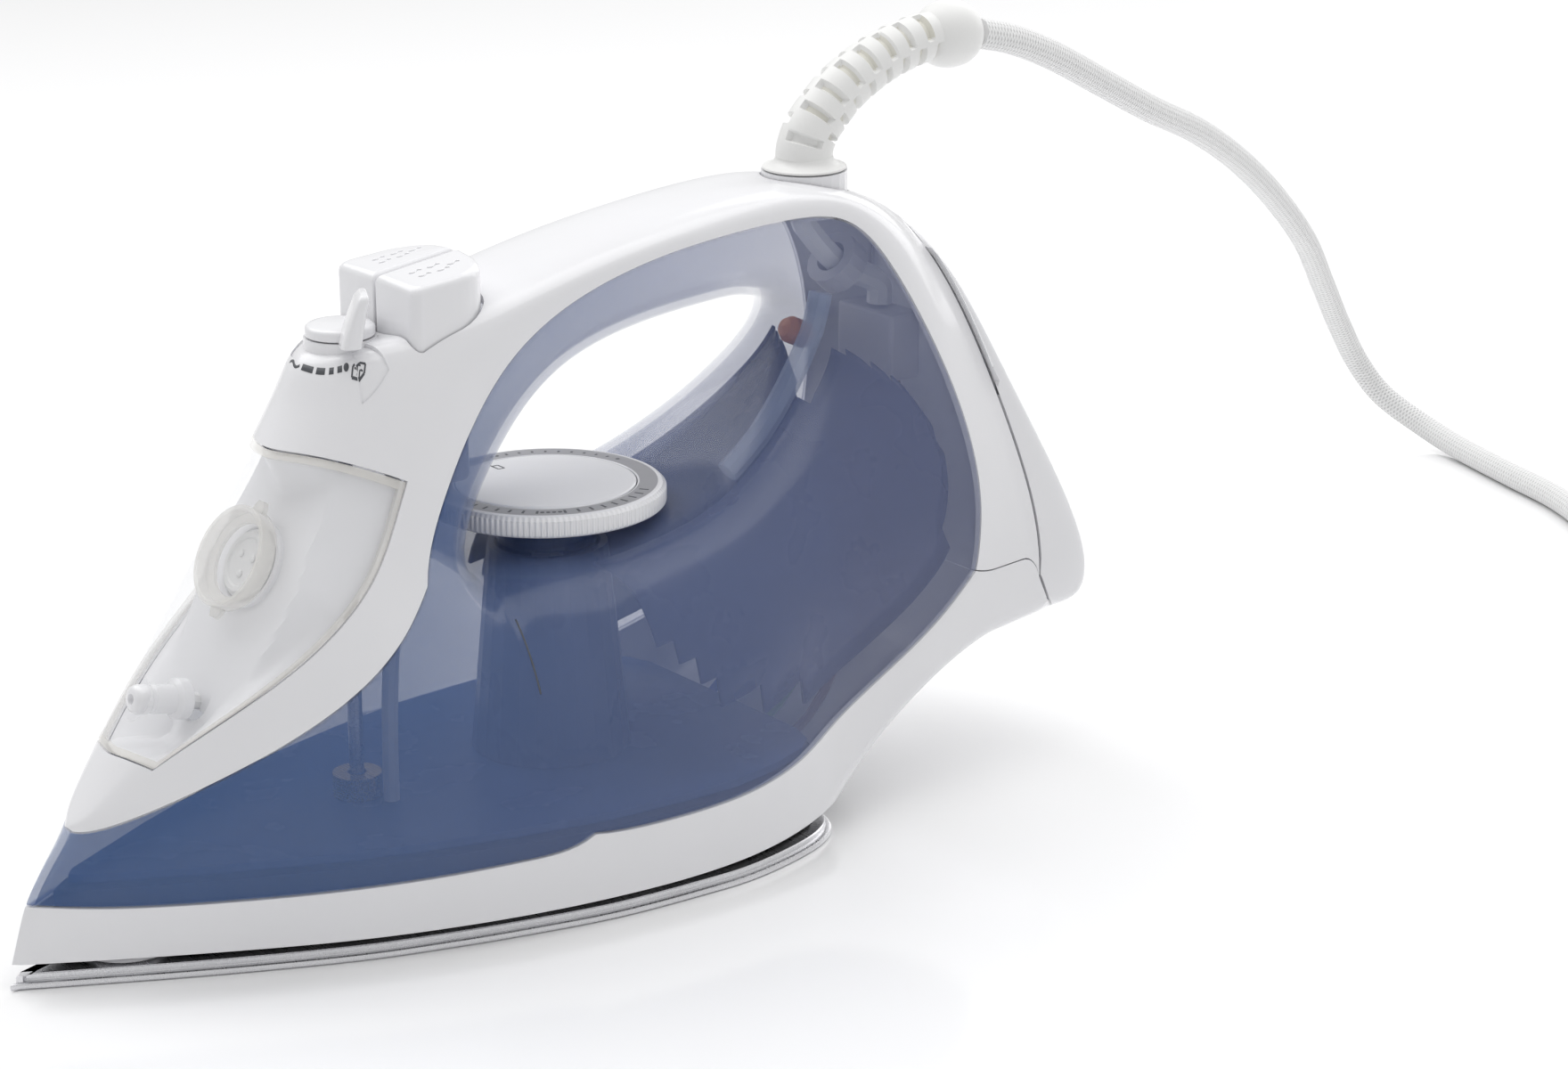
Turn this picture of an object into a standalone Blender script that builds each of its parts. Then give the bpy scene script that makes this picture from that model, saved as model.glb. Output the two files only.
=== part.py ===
"""A steam iron standing on its soleplate, as an assembly of separate pieces.

World units are metres, +Z up. The nose points along -Y and the iron is symmetric about the
YZ plane. The origin is on the floor, midway along the iron. Every place below is written in
millimetres, as x to the side, y behind the soleplate's tip and z above the floor.
"""

import math

import bmesh
import bpy
from mathutils import Matrix, Vector

MM = 0.001
TIP_Y = -0.150  # the soleplate's tip, so that the 300 mm long iron is centred on the origin
GAP = 0.3  # clearance between touching pieces
SHELL = 2.0  # wall of the outer shells
AXIS_STEPS = 24  # sides of a turned piece
MERGE = 0.0001

SOLE_THICKNESS = 3.6
STEAM_HOLE = 1.3
STEAM_HOLES = ((0, 38), (9, 56), (17, 80), (24, 104), (30, 130), (32, 158), (28, 184))
NOSE_PAD = (0, 32)
BLOCK_HEIGHTS = (3.9, 13)
ELEMENT_RADIUS = 3.3
SOLE_HALF_OUTLINE = (
    (0.0, 0.9), (8.8, 17), (23, 44), (36, 72), (43, 92), (49, 113), (54, 136),
    (56, 161), (56, 175), (53, 191), (48.6, 203), (42, 210.5), (32, 214), (16, 214.5),
)

DIAL_CENTRE = (0, 153)
DIAL_RADIUS = 29.6
DIAL_BOTTOM = 87.9
DIAL_TOP = 93.4
CAP_RADIUS = 22.2

LEVER_AXIS = (0, 96)
LEVER_REST = 63  # degrees from straight ahead towards +X
LEVER_TOP = 152.5
LEVER_DISC_TOP = 143
BOSS_TOP = 139.9
BUTTON_SIDE = (0.5, 17.2)
BUTTON_ALONG = (105.6, 129)
BUTTON_FOOT = 134
PUMP_X = 9.0
PUMP_Y = 117.0
PISTON_FOOT = 109.5
BARREL_FOOT = 104
BARREL_TOP = 126
SPRING_WIRE = 0.4
SPRING_RADIUS = 4.7
SPRING_TURNS = 3.5

DOOR_HINGE = (29.3, 51.4)
NOZZLE_BACK = (50, 60.5)
NOZZLE_TIP = (36.5, 63.5)
NOZZLE_RADIUS = 3.5
MOUTH = (70, 89)  # the filler's mouth, and the way that it faces
MOUTH_AXIS = (-0.866, 0.5)
DOOR_WALL = 1.6
TRAY_WALL = 1.2
TRAY_INSET = 0.5
TRAY_DEPTHS = (2.4, 6.5, 10.5, 13, 14)
BACK_WALL = 1.6
BACK_INSET = 0.6
TANK_INSET = 0.35

GUARD_AXIS_Y = 234
GUARD_ROUTE = (
    (233.8, 163), (234.2, 166), (236, 170), (239.5, 174), (246.5, 180), (257.5, 185.6),
    (269.5, 189), (280, 189.8),
)
GUARD_RADIUS = 7.3
GUARD_TAPER = 0.14
BALL_CENTRE = (281.5, 189.6)
BALL_RADIUS = 8.8
CORD_RADIUS = 3.95
COIL_CENTRE = (85, 560)
COIL_MEAN_RADIUS = 44
COIL_HALF_WIDTH = 12
COIL_BOTTOM = 0.8
COIL_TOP = 16.4

# Each rib of the water tank runs from its outer parting line, by two handles, to the middle
# of the finger opening: (x, y, z), (x, y, z), (x, y, z), (y, z).
TANK_RIBS = (
    ((53, 130, 17.5), (51, 131, 70), (40, 131, 92), (130, 81.5)),
    ((56, 152, 17.5), (54, 152, 72), (42, 149, 96), (147, 81)),
    ((55.5, 175, 17.5), (54, 173, 74), (41, 168, 100), (166, 81.5)),
    ((51, 195, 20.5), (52, 191, 76), (40, 187, 106), (186, 84.5)),
    ((45.5, 208, 26.5), (48, 203, 78), (38, 199, 112), (198, 92)),
    ((42.5, 226, 33), (46, 219, 82), (35, 210, 117), (207, 101)),
    ((42, 246, 43), (45, 235, 88), (32, 220, 122), (214.5, 111)),
    ((41.3, 260, 56), (43, 246, 94), (29, 227, 126), (219, 119)),
    ((38.8, 264, 75), (40, 250, 102), (26, 231, 130), (220.5, 124)),
    ((33, 262, 97), (35, 248, 112), (23, 231, 132), (219.5, 127.5)),
    ((27, 256.5, 116.5), (29, 243, 122), (20, 227, 133), (215.5, 130)),
    ((21.5, 247.5, 136.5), (23.5, 235, 133), (17.5, 220, 133), (210, 131.3)),
    ((18.5, 236.5, 152.5), (20, 228, 143), (16, 211, 133.5), (203, 131.5)),
    ((18.3, 219, 154.5), (19.3, 215, 143), (15.5, 199, 132.5), (194, 131)),
    ((18.3, 199, 153.6), (19.3, 197, 142), (15.5, 184, 131.5), (182, 130)),
    ((18.5, 179, 151.8), (19.5, 178, 140.5), (15.5, 170, 129.5), (169, 128)),
    ((19, 160, 148), (20, 161, 137), (15.5, 157, 126), (156, 124.5)),
    ((19.5, 144, 142), (20.5, 148, 132), (15.5, 146, 120.5), (145, 119)),
    ((20.3, 130, 132.5), (21.3, 137, 124), (16, 136.5, 112), (135.5, 111)),
    ((21.5, 119, 119), (22.5, 127, 113), (16.5, 129.5, 103), (128.5, 102)),
    ((23.5, 109.5, 104), (25, 117, 99), (18, 123, 94), (122, 94)),
    ((27, 99, 86), (30, 108, 83), (22, 120, 87), (118, 87.5)),
    ((37, 108, 62), (40, 117, 69), (27, 120, 85), (118.5, 83)),
    ((47, 119, 38), (48, 124, 60), (34, 123, 86), (122.5, 81.8)),
)
NOSE_LINE_END = 18  # the nose's ridge is a crease as far back as this
NOSE_CREASE = 0.85
CORNER_RIB = 21  # where the tank, the nose side and the white shell meet
# The tank's nose side: lower parting line and upper parting line of each column.
NOSE_SIDE = (
    ((0, 6, 20.5), (0, 17, 35)),
    ((11, 22, 18.6), (10.5, 25, 38.5)),
    ((24, 47, 17.8), (20.5, 41, 45.5)),
    ((36, 71, 17.5), (28.5, 59, 54.5)),
    ((45, 95, 17.5), (32.3, 77, 64.5)),
    ((50, 114, 17.5), (31.5, 90, 75)),
)
# The white shell's ribs over the nose and along the handle: two handles, the end on the
# middle plane, and how far along the rib the filler door's edge lies.
SHIELD_RIBS = (
    ((9, 23, 41), (5, 22, 41), (21.5, 40.5), 0.5),
    ((19, 36, 49), (9, 30, 53), (29.5, 51.5), 0.6),
    ((27, 50, 61), (13, 40, 68), (38.5, 66), 0.42),
    ((31, 65, 74), (16, 50, 84), (46.5, 79), 0.3),
    ((31.5, 77, 86), (18, 59, 98), (54, 90.5), 0.24),
    ((28.5, 86, 96), (19, 67, 107), (61.5, 101.5), 0.2),
    ((25.5, 95, 113), (19, 76, 121), (73.5, 117.5), 0.24),
    ((23.5, 103, 127), (18, 83, 132), (79.6, 129), 0.25),
    ((22, 115, 139), (18, 91, 141), (81.3, 140), 0.25),
    ((21, 130, 146), (18, 108, 142), (101, 136.2), 0.25),
    ((20, 149, 150), (17, 128, 148), (121, 144), 0.25),
    ((19, 172, 154.5), (14, 152, 154.5), (141, 150.5), 0.25),
    ((18.6, 196, 157.5), (12, 176, 158.5), (166, 156), 0.25),
    ((18.6, 218, 159.5), (12, 205, 161.5), (195, 160.3), 0.25),
    ((18.8, 239, 158), (12, 234, 162), (226, 160.5), 0.25),
    ((21.5, 254, 143), (12, 260, 150), (260, 150.5), 0.25),
)
DOOR_COLUMNS = (2, 7)  # first and last column that the filler door covers
# The back cover: its front edge, its flared rim, and its middle, column by column downwards.
BACK_COLUMNS = (
    ((17, 267.5, 132), (17.5, 270.5, 132.5), (273.5, 132.5)),
    ((25.5, 276, 103), (27.5, 281, 103.5), (286.5, 104)),
    ((35.5, 279.5, 76), (39.5, 291, 75.5), (298, 77)),
    ((41, 278.5, 56.5), (45.5, 297, 54.5), (302.6, 56)),
    ((43, 283, 43.5), (44.5, 293.5, 44), (300.5, 44.5)),
)
# Lower edge of the skirt, from the nose to where it turns up behind the soleplate.
SKIRT_EDGE = (
    (0, 1.5, 6.5), (12, 23, 6.2), (25, 48, 6), (37, 72, 6), (45.5, 96, 6), (50.5, 115, 6),
    (53.5, 131, 6), (56, 153, 6), (55.5, 176, 6.3), (51.5, 196, 8), (46.5, 209, 10.5),
    (41.5, 225, 20), (40.5, 245, 32.5), (41.5, 262, 40), (43, 283, 43.5),
)
RAMP_START = 10  # the skirt's column where the rear wall begins
# Rear wall of the skirt: shoulder, quarter and middle of each column.
RAMP = (
    ((38, 216, 9), (20, 218, 8.5), (0, 218.5, 8.5)),
    ((34, 226.5, 17), (17, 227, 16.5), (0, 227, 16.5)),
    ((33, 246, 30), (17, 246.5, 29.5), (0, 246.5, 29.5)),
    ((34, 262.5, 38), (17, 262.5, 37.5), (0, 262.5, 37.5)),
    ((35, 287, 41.5), (17, 287.5, 41), (0, 288, 41)),
)

CORD_ROUTE = (
    (0, 291.2, 188.7), (-3.5, 307, 184.6), (-10, 328, 176.8), (-20, 355, 165), (-32, 386, 151.6),
    (-46, 418, 139.2), (-60, 449, 124.5), (-74, 480, 106.5), (-89, 511.5, 84.5),
    (-103, 536, 63.5), (-112, 555, 44), (-115.5, 569, 27.5), (-110.5, 577, 15.5),
    (-96, 582, 7.2), (-76, 578.6, 4.3), (-48, 570, 4.1), (-20, 561.5, 4.1), (4, 549, 4.1),
    (26.5, 531, 4.4), (47.5, 512.5, 4.8), (65.8, 502.7, 5),
)
TAIL_ROUTE = (
    (128, 516, 13.4), (138.5, 522, 14.8), (147, 530.5, 16.4), (152.8, 540, 17.6),
    (155, 548, 18), (155, 552, 18),
)

GROUPS, FINISHES = {}, {}


def at(x, y, z):
    """The world point of a place in millimetres from the soleplate's tip."""
    return Vector((x * MM, TIP_Y + y * MM, z * MM))


def collection(name):
    made = bpy.data.collections.new(name)
    bpy.context.scene.collection.children.link(made)
    return made


def material(name, colour, roughness, metallic=0.0, alpha=1.0):
    """A Principled material, made once per name."""
    if name in bpy.data.materials:
        return bpy.data.materials[name]
    made = bpy.data.materials.new(name)
    made.use_nodes = True
    shader = made.node_tree.nodes["Principled BSDF"]
    shader.inputs["Base Color"].default_value = (*colour, 1.0)
    shader.inputs["Roughness"].default_value = roughness
    shader.inputs["Metallic"].default_value = metallic
    shader.inputs["Alpha"].default_value = alpha
    return made


def finishes():
    """Every finish on the iron: colour, roughness, metallic and alpha."""
    return {
        "white": material("gloss_white", (0.86, 0.86, 0.87), 0.15),
        "blue": material("translucent_blue", (0.09, 0.17, 0.36), 0.12, alpha=0.6),
        "clear": material("clear_plastic", (0.93, 0.94, 0.95), 0.05, alpha=0.3),
        "navy": material("navy_plastic", (0.03, 0.06, 0.13), 0.3),
        "dark": material("dark_phenolic", (0.05, 0.05, 0.055), 0.5),
        "grey": material("grey_plastic", (0.55, 0.55, 0.56), 0.4),
        "sole": material("polished_sole", (0.62, 0.62, 0.64), 0.25, 1.0),
        "cast": material("cast_aluminium", (0.6, 0.6, 0.6), 0.5, 1.0),
        "steel": material("steel", (0.55, 0.55, 0.57), 0.3, 1.0),
        "brass": material("brass", (0.75, 0.58, 0.25), 0.3, 1.0),
        "rubber": material("silicone", (0.75, 0.75, 0.74), 0.6),
        "textile": material("white_textile", (0.88, 0.88, 0.88), 0.9),
        "cover": material("white_flex", (0.85, 0.85, 0.85), 0.35),
        "brown": material("brown_wire", (0.2, 0.08, 0.03), 0.5),
        "sky": material("blue_wire", (0.05, 0.15, 0.55), 0.5),
        "green": material("green_wire", (0.15, 0.4, 0.08), 0.5),
        "amber": material("amber_lens", (0.85, 0.35, 0.05), 0.2),
    }


def keep(obj, finish, group):
    """Gives an object its own copy of a finish, smooth shading and a place in a collection."""
    own = FINISHES[finish].copy()
    own.name = f"{obj.name}_{finish}"
    obj.data.materials.clear()
    obj.data.materials.append(own)
    if obj.type == "MESH":
        obj.data.shade_smooth()
        obj.data.set_sharp_from_angle(angle=math.radians(35))
    group.objects.link(obj)
    return obj


def piece(name, data, finish):
    return keep(bpy.data.objects.new(name, data), finish, GROUPS["parts"])


def cutter(name, data):
    """A helper that only cuts: hidden from renders and drawn as wire."""
    obj = bpy.data.objects.new(name, data)
    GROUPS["cutters"].objects.link(obj)
    obj.hide_render = True
    obj.display_type = "WIRE"
    return obj


def cut(obj, other, operation="DIFFERENCE"):
    modifier = obj.modifiers.new(f"{operation.lower()}_{other.name}", "BOOLEAN")
    modifier.operation = operation
    modifier.object = other
    return obj


def evaluated_mesh(obj):
    """The object's mesh with its modifiers, with seams welded, in the object's own frame."""
    graph = bpy.context.evaluated_depsgraph_get()
    mesh = bpy.data.meshes.new_from_object(obj.evaluated_get(graph))
    shape = bmesh.new()
    shape.from_mesh(mesh)
    bmesh.ops.remove_doubles(shape, verts=shape.verts, dist=MERGE / 10)
    shape.to_mesh(mesh)
    shape.free()
    return mesh


def as_mesh(obj):
    """Replaces a curve, or an object with modifiers, by a plain mesh object of the same name."""
    name = obj.name
    mesh = evaluated_mesh(obj)
    frame = obj.matrix_world.copy()
    obj.name = name + "_source"
    made = bpy.data.objects.new(name, mesh)
    made.matrix_world = frame
    made.data.shade_smooth()
    made.data.set_sharp_from_angle(angle=math.radians(35))
    for group in obj.users_collection:
        group.objects.link(made)
    made.hide_render = obj.hide_render
    made.display_type = obj.display_type
    bpy.data.objects.remove(obj)
    return made


def bezier(a, b, c, d, t):
    s = 1 - t
    return a * s**3 + b * 3 * s * s * t + c * 3 * s * t * t + d * t**3


def smooth_path(points, per_span):
    """Points along a Catmull-Rom curve through the given ones."""
    ends = [points[0] * 2 - points[1], *points, points[-1] * 2 - points[-2]]
    found = []
    for a, b, c, d in zip(ends, ends[1:], ends[2:], ends[3:]):
        for step in range(per_span):
            t = step / per_span
            found.append((b * 2 + (c - a) * t + (a * 2 - b * 5 + c * 4 - d) * t**2
                          + (b * 3 - a - c * 3 + d) * t**3) / 2)
    found.append(points[-1])
    return found


def turned(name, profile, foot, axis, finish, steps=AXIS_STEPS, hidden=False):
    """A profile of (radius, height) in millimetres, outer side top to bottom, turned on an axis."""
    mesh = bpy.data.meshes.new(name)
    points = [(radius * MM, 0, height * MM) for radius, height in profile]
    mesh.from_pydata(points, [(i, i + 1) for i in range(len(points) - 1)], [])
    obj = cutter(name, mesh) if hidden else piece(name, mesh, finish)
    turn = Vector((0, 0, 1)).rotation_difference(Vector(axis).normalized())
    obj.matrix_world = Matrix.Translation(foot) @ turn.to_matrix().to_4x4()
    screw = obj.modifiers.new("turn", "SCREW")
    screw.steps = screw.render_steps = steps
    screw.use_merge_vertices = True
    screw.merge_threshold = MERGE / 10
    screw.use_smooth_shade = True
    return obj


def rod(name, start, end, radius, finish, steps=16, hidden=False):
    """A round bar between two places."""
    length = (at(*end) - at(*start)).length / MM
    profile = ((0, length), (radius, length), (radius, 0), (0, 0))
    return turned(name, profile, at(*start), at(*end) - at(*start), finish, steps, hidden)


def ring_profile(inner, outer, low, high):
    """A closed profile for a plain ring."""
    return ((inner, high), (outer, high), (outer, low), (inner, low), (inner, high))


def tube(name, route, radius, finish, hidden=False, taper=None):
    """A round tube along a list of world points, each with its share of the radius."""
    data = bpy.data.curves.new(name, "CURVE")
    data.dimensions = "3D"
    data.bevel_depth = radius * MM
    data.bevel_resolution = 2
    data.use_fill_caps = True
    line = data.splines.new("POLY")
    line.points.add(len(route) - 1)
    for spot, place, share in zip(line.points, route, taper or [1] * len(route)):
        spot.co = (*place, 1)
        spot.radius = share
    return cutter(name, data) if hidden else piece(name, data, finish)


def box(name, low, high, finish, bevel=0.0, hidden=False):
    """A box between two corners, its edges rounded by a bevel in millimetres."""
    low, high = at(*low), at(*high)
    shape = bmesh.new()
    bmesh.ops.create_cube(shape, size=1.0)
    size, middle = high - low, (high + low) / 2
    bmesh.ops.scale(shape, vec=size, verts=shape.verts)
    mesh = bpy.data.meshes.new(name)
    shape.to_mesh(mesh)
    shape.free()
    obj = cutter(name, mesh) if hidden else piece(name, mesh, finish)
    obj.location = middle
    if bevel:
        rounding = obj.modifiers.new("edges", "BEVEL")
        rounding.width = bevel * MM
        rounding.segments = 2
    return obj


def sole_outline(inset, front, rear):
    """The soleplate's outline in plan, drawn in by an inset and cut off front and rear."""
    half = [Vector((x, y)) for x, y in SOLE_HALF_OUTLINE]
    loop = half + [Vector((-p.x, p.y)) for p in reversed(half[1:])]
    count = len(loop)
    found = []
    for i in range(count):
        before, after = loop[i - 1], loop[(i + 1) % count]
        along = (after - before).normalized()
        found.append(loop[i] + Vector((-along.y, along.x)) * inset)
    return [(p.x, min(max(p.y, front), rear)) for p in found]


def plate(name, outline, low, high, finish, edge=0.0, hidden=False):
    """A flat plate of a plan outline between two heights, with rounded edges."""
    data = bpy.data.curves.new(name, "CURVE")
    data.dimensions = "2D"
    data.fill_mode = "BOTH"
    data.extrude = ((high - low) / 2 - edge) * MM
    data.bevel_depth = edge * MM
    data.bevel_resolution = 1
    line = data.splines.new("POLY")
    line.points.add(len(outline) - 1)
    for spot, (x, y) in zip(line.points, outline):
        spot.co = (x * MM, TIP_Y + y * MM, 0, 1)
    line.use_cyclic_u = True
    obj = cutter(name, data) if hidden else piece(name, data, finish)
    obj.location.z = (low + high) / 2 * MM
    bpy.context.view_layer.update()
    return as_mesh(obj)


# The outer form: one cage of quads for the half at +X, whose faces carry the number of the
# piece that they belong to.

TANK, SHIELD, DOOR, BACK, SKIRT = range(5)


def strip(cells, first, second, labels):
    """Adds the quads between two neighbouring columns of points."""
    for i, label in enumerate(labels):
        if label is not None:
            cells.append(((first[i], second[i], second[i + 1], first[i + 1]), label))


def tank_columns():
    found = []
    for outer, first, second, (y, z) in TANK_RIBS:
        a, b, c, d = Vector(outer), Vector(first), Vector(second), Vector((0, y, z))
        found.append([bezier(a, b, c, d, t) for t in (0, 0.25, 0.5, 0.75, 1)])
    return found


def shield_columns(starts):
    found = []
    for start, (first, second, (y, z), edge) in zip(starts, SHIELD_RIBS):
        a, b, c, d = start, Vector(first), Vector(second), Vector((0, y, z))
        steps = (0, edge, edge + (1 - edge) / 3, edge + (1 - edge) * 2 / 3, 1)
        found.append([bezier(a, b, c, d, t) for t in steps])
    return found


def outer_form():
    """The quads of the half cage, each with its piece's number."""
    cells = []
    tank = tank_columns()
    for first, second in zip(tank, tank[1:] + tank[:1]):
        strip(cells, first, second, [TANK] * 4)

    corner = [tank[0][0], tank[23][0], tank[22][0], tank[CORNER_RIB][0]]
    nose = []
    for low, high in NOSE_SIDE:
        low, high = Vector(low), Vector(high)
        bulge = Vector((1.2, 0, 0)) if low.x else Vector((0, -0.5, 0))
        nose.append([low, low.lerp(high, 1 / 3) + bulge, low.lerp(high, 2 / 3) + bulge, high])
    nose.append(corner)
    for first, second in zip(nose, nose[1:]):
        strip(cells, first, second, [TANK] * 3)

    # The white shell starts along the tank's upper parting line.
    edge = [Vector(high) for _, high in NOSE_SIDE[1:]]
    edge += [tank[i][0] for i in range(CORNER_RIB, 10, -1)]
    shield = [[nose[0][3]] * 5, *shield_columns(edge)]
    for i, (first, second) in enumerate(zip(shield, shield[1:])):
        door = DOOR_COLUMNS[0] <= i < DOOR_COLUMNS[1]
        strip(cells, first, second, [SHIELD] + [DOOR if door else SHIELD] * 3)

    # From there down the rear a side strip joins the tank's edge to the back cover.
    apex = shield[-1][4]
    backs = [[apex] * 5]
    sides = [shield[-1]]
    for rib, (front, _, _) in zip((10, 9, 8, 7), BACK_COLUMNS):
        start, front = tank[rib][0], Vector(front)
        sides.append([start.lerp(front, t / 4) for t in range(5)])
    for first, second in zip(sides, sides[1:]):
        strip(cells, first, second, [SHIELD] * 4)
    for front, rim, (y, z) in BACK_COLUMNS:
        front, rim, middle = Vector(front), Vector(rim), Vector((0, y, z))
        backs.append([front, rim, rim.lerp(middle, 0.12), rim.lerp(middle, 0.55), middle])
    ramp_end = [Vector(p) for p in RAMP[-1]]
    backs.append([backs[-1][0], backs[-1][0], *ramp_end])
    for first, second in zip(backs, backs[1:]):
        strip(cells, first, second, [BACK] * 4)

    # The skirt hangs from the tank's lower edge and closes behind the soleplate.
    top = [Vector(low) for low, _ in NOSE_SIDE] + [tank[i][0] for i in range(8)]
    edge = [Vector(p) for p in SKIRT_EDGE]
    walls = [[Vector(p) for p in row] for row in RAMP]
    for t in (0.25, 0.5, 0.75):
        edge.insert(-1, edge[13].lerp(edge[-1], t))
        walls.insert(-1, [a.lerp(b, t) for a, b in zip(walls[3], walls[-1])])
    top += sides[-1][1:]
    skirt = [[a, a.lerp(b, 0.5), b] for a, b in zip(top, edge)]
    for first, second in zip(skirt, skirt[1:]):
        strip(cells, second, first, [SKIRT] * 2)
    walls = [[a, *row] for a, row in zip(edge[RAMP_START:], walls)]
    for first, second in zip(walls, walls[1:]):
        strip(cells, second, first, [SKIRT] * 3)
    return cells


def form_mesh(cells, level):
    """The whole outer form as a mesh: the half cage mirrored and subdivided."""
    shape = bmesh.new()
    spots = {}

    def spot(place):
        key = tuple(round(value, 3) for value in place)
        if key not in spots:
            spots[key] = shape.verts.new(at(*place))
        return spots[key]

    for corners, label in cells:
        loop = []
        for corner in corners:
            if spot(corner) not in loop:
                loop.append(spot(corner))
        if len(loop) > 2:
            shape.faces.new(loop).material_index = label
    crease = shape.edges.layers.float.new("crease_edge")
    for line in shape.edges:
        if all(v.co.x < MERGE and v.co.y < TIP_Y + NOSE_LINE_END * MM for v in line.verts):
            line[crease] = NOSE_CREASE
    mesh = bpy.data.meshes.new("outer_form")
    shape.to_mesh(mesh)
    shape.free()
    obj = cutter("outer_form", mesh)
    mirror = obj.modifiers.new("sides", "MIRROR")
    mirror.merge_threshold = MERGE
    smooth = obj.modifiers.new("smooth", "SUBSURF")
    smooth.levels = smooth.render_levels = level
    whole = evaluated_mesh(obj)
    bpy.data.objects.remove(obj)
    return whole


def draw_in(shape, amount):
    """Moves the open edges of a surface inwards along it."""
    moves = []
    for vert in shape.verts:
        if not vert.is_boundary:
            continue
        inner = [e.other_vert(vert).co for e in vert.link_edges if not e.is_boundary]
        inner = inner or [face.calc_center_median() for face in vert.link_faces]
        towards = sum((p - vert.co for p in inner), Vector())
        moves.append((vert, towards.normalized() * amount))
    for vert, move in moves:
        vert.co += move


def shell(name, whole, label, finish, wall=SHELL, inset=GAP * 0.6):
    """One piece of the outer form, drawn in round its edges, with a wall inwards."""
    shape = bmesh.new()
    shape.from_mesh(whole)
    bmesh.ops.recalc_face_normals(shape, faces=shape.faces)
    outward = sum(f.normal.x * math.copysign(1, f.calc_center_median().x) for f in shape.faces)
    if outward < 0:
        bmesh.ops.reverse_faces(shape, faces=shape.faces)
    others = [f for f in shape.faces if f.material_index != label]
    bmesh.ops.delete(shape, geom=others, context="FACES")
    for face in shape.faces:
        face.material_index = 0
    draw_in(shape, inset * MM)
    mesh = bpy.data.meshes.new(name)
    shape.to_mesh(mesh)
    shape.free()
    obj = piece(name, mesh, finish)
    solid = obj.modifiers.new("wall", "SOLIDIFY")
    solid.thickness = wall * MM
    solid.offset = -1
    solid.use_even_offset = True
    return obj


def filler_tray(whole):
    """The recess behind the filler door: the door's own patch, sunk more towards its middle."""
    shape = bmesh.new()
    shape.from_mesh(whole)
    others = [face for face in shape.faces if face.material_index != DOOR]
    bmesh.ops.delete(shape, geom=others, context="FACES")
    bmesh.ops.recalc_face_normals(shape, faces=shape.faces)
    shape.normal_update()
    middle = sum((v.normal for v in shape.verts), Vector())
    turn = -1 if middle.y < 0 else 1
    depths = {v: TRAY_DEPTHS[0] for v in shape.verts if v.is_boundary}
    for depth in (*TRAY_DEPTHS[1:], *[TRAY_DEPTHS[-1]] * 8):
        ring = {e.other_vert(v) for v in depths for e in v.link_edges} - set(depths)
        depths.update({v: depth for v in ring})
    draw_in(shape, TRAY_INSET * MM)
    for vert, depth in depths.items():
        vert.co += vert.normal * turn * depth * MM
    for face in shape.faces:
        face.material_index = 0
    if turn > 0:
        bmesh.ops.reverse_faces(shape, faces=shape.faces)
    mesh = bpy.data.meshes.new("filler_tray")
    shape.to_mesh(mesh)
    shape.free()
    obj = piece("filler_tray", mesh, "white")
    solid = obj.modifiers.new("wall", "SOLIDIFY")
    solid.thickness = TRAY_WALL * MM
    solid.offset = -1
    return obj


def shells():
    whole = form_mesh(outer_form(), 1)
    made = {
        "tank": shell("water_tank", whole, TANK, "blue", inset=TANK_INSET),
        "handle": shell("handle_shell", whole, SHIELD, "white"),
        "door": shell("filler_door", whole, DOOR, "clear", DOOR_WALL),
        "back": shell("back_cover", whole, BACK, "white", BACK_WALL, BACK_INSET),
        "skirt": shell("lower_skirt", whole, SKIRT, "white"),
        "tray": filler_tray(whole),
    }
    bpy.data.meshes.remove(whole)
    return made


def soleplate():
    plate("soleplate", sole_outline(0.6, -1, 300), 0, SOLE_THICKNESS, "sole", 0.6)
    holes = bmesh.new()
    for x, y in STEAM_HOLES:
        for side in (-1, 1) if x else (1,):
            where = Matrix.Translation(at(x * side, y, SOLE_THICKNESS / 2))
            bmesh.ops.create_cone(
                holes, cap_ends=True, segments=8, radius1=STEAM_HOLE * MM,
                radius2=STEAM_HOLE * MM, depth=SOLE_THICKNESS * 2 * MM, matrix=where)
    mesh = bpy.data.meshes.new("steam_holes")
    holes.to_mesh(mesh)
    holes.free()
    cut(bpy.data.objects["soleplate"], cutter("steam_holes", mesh))


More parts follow.
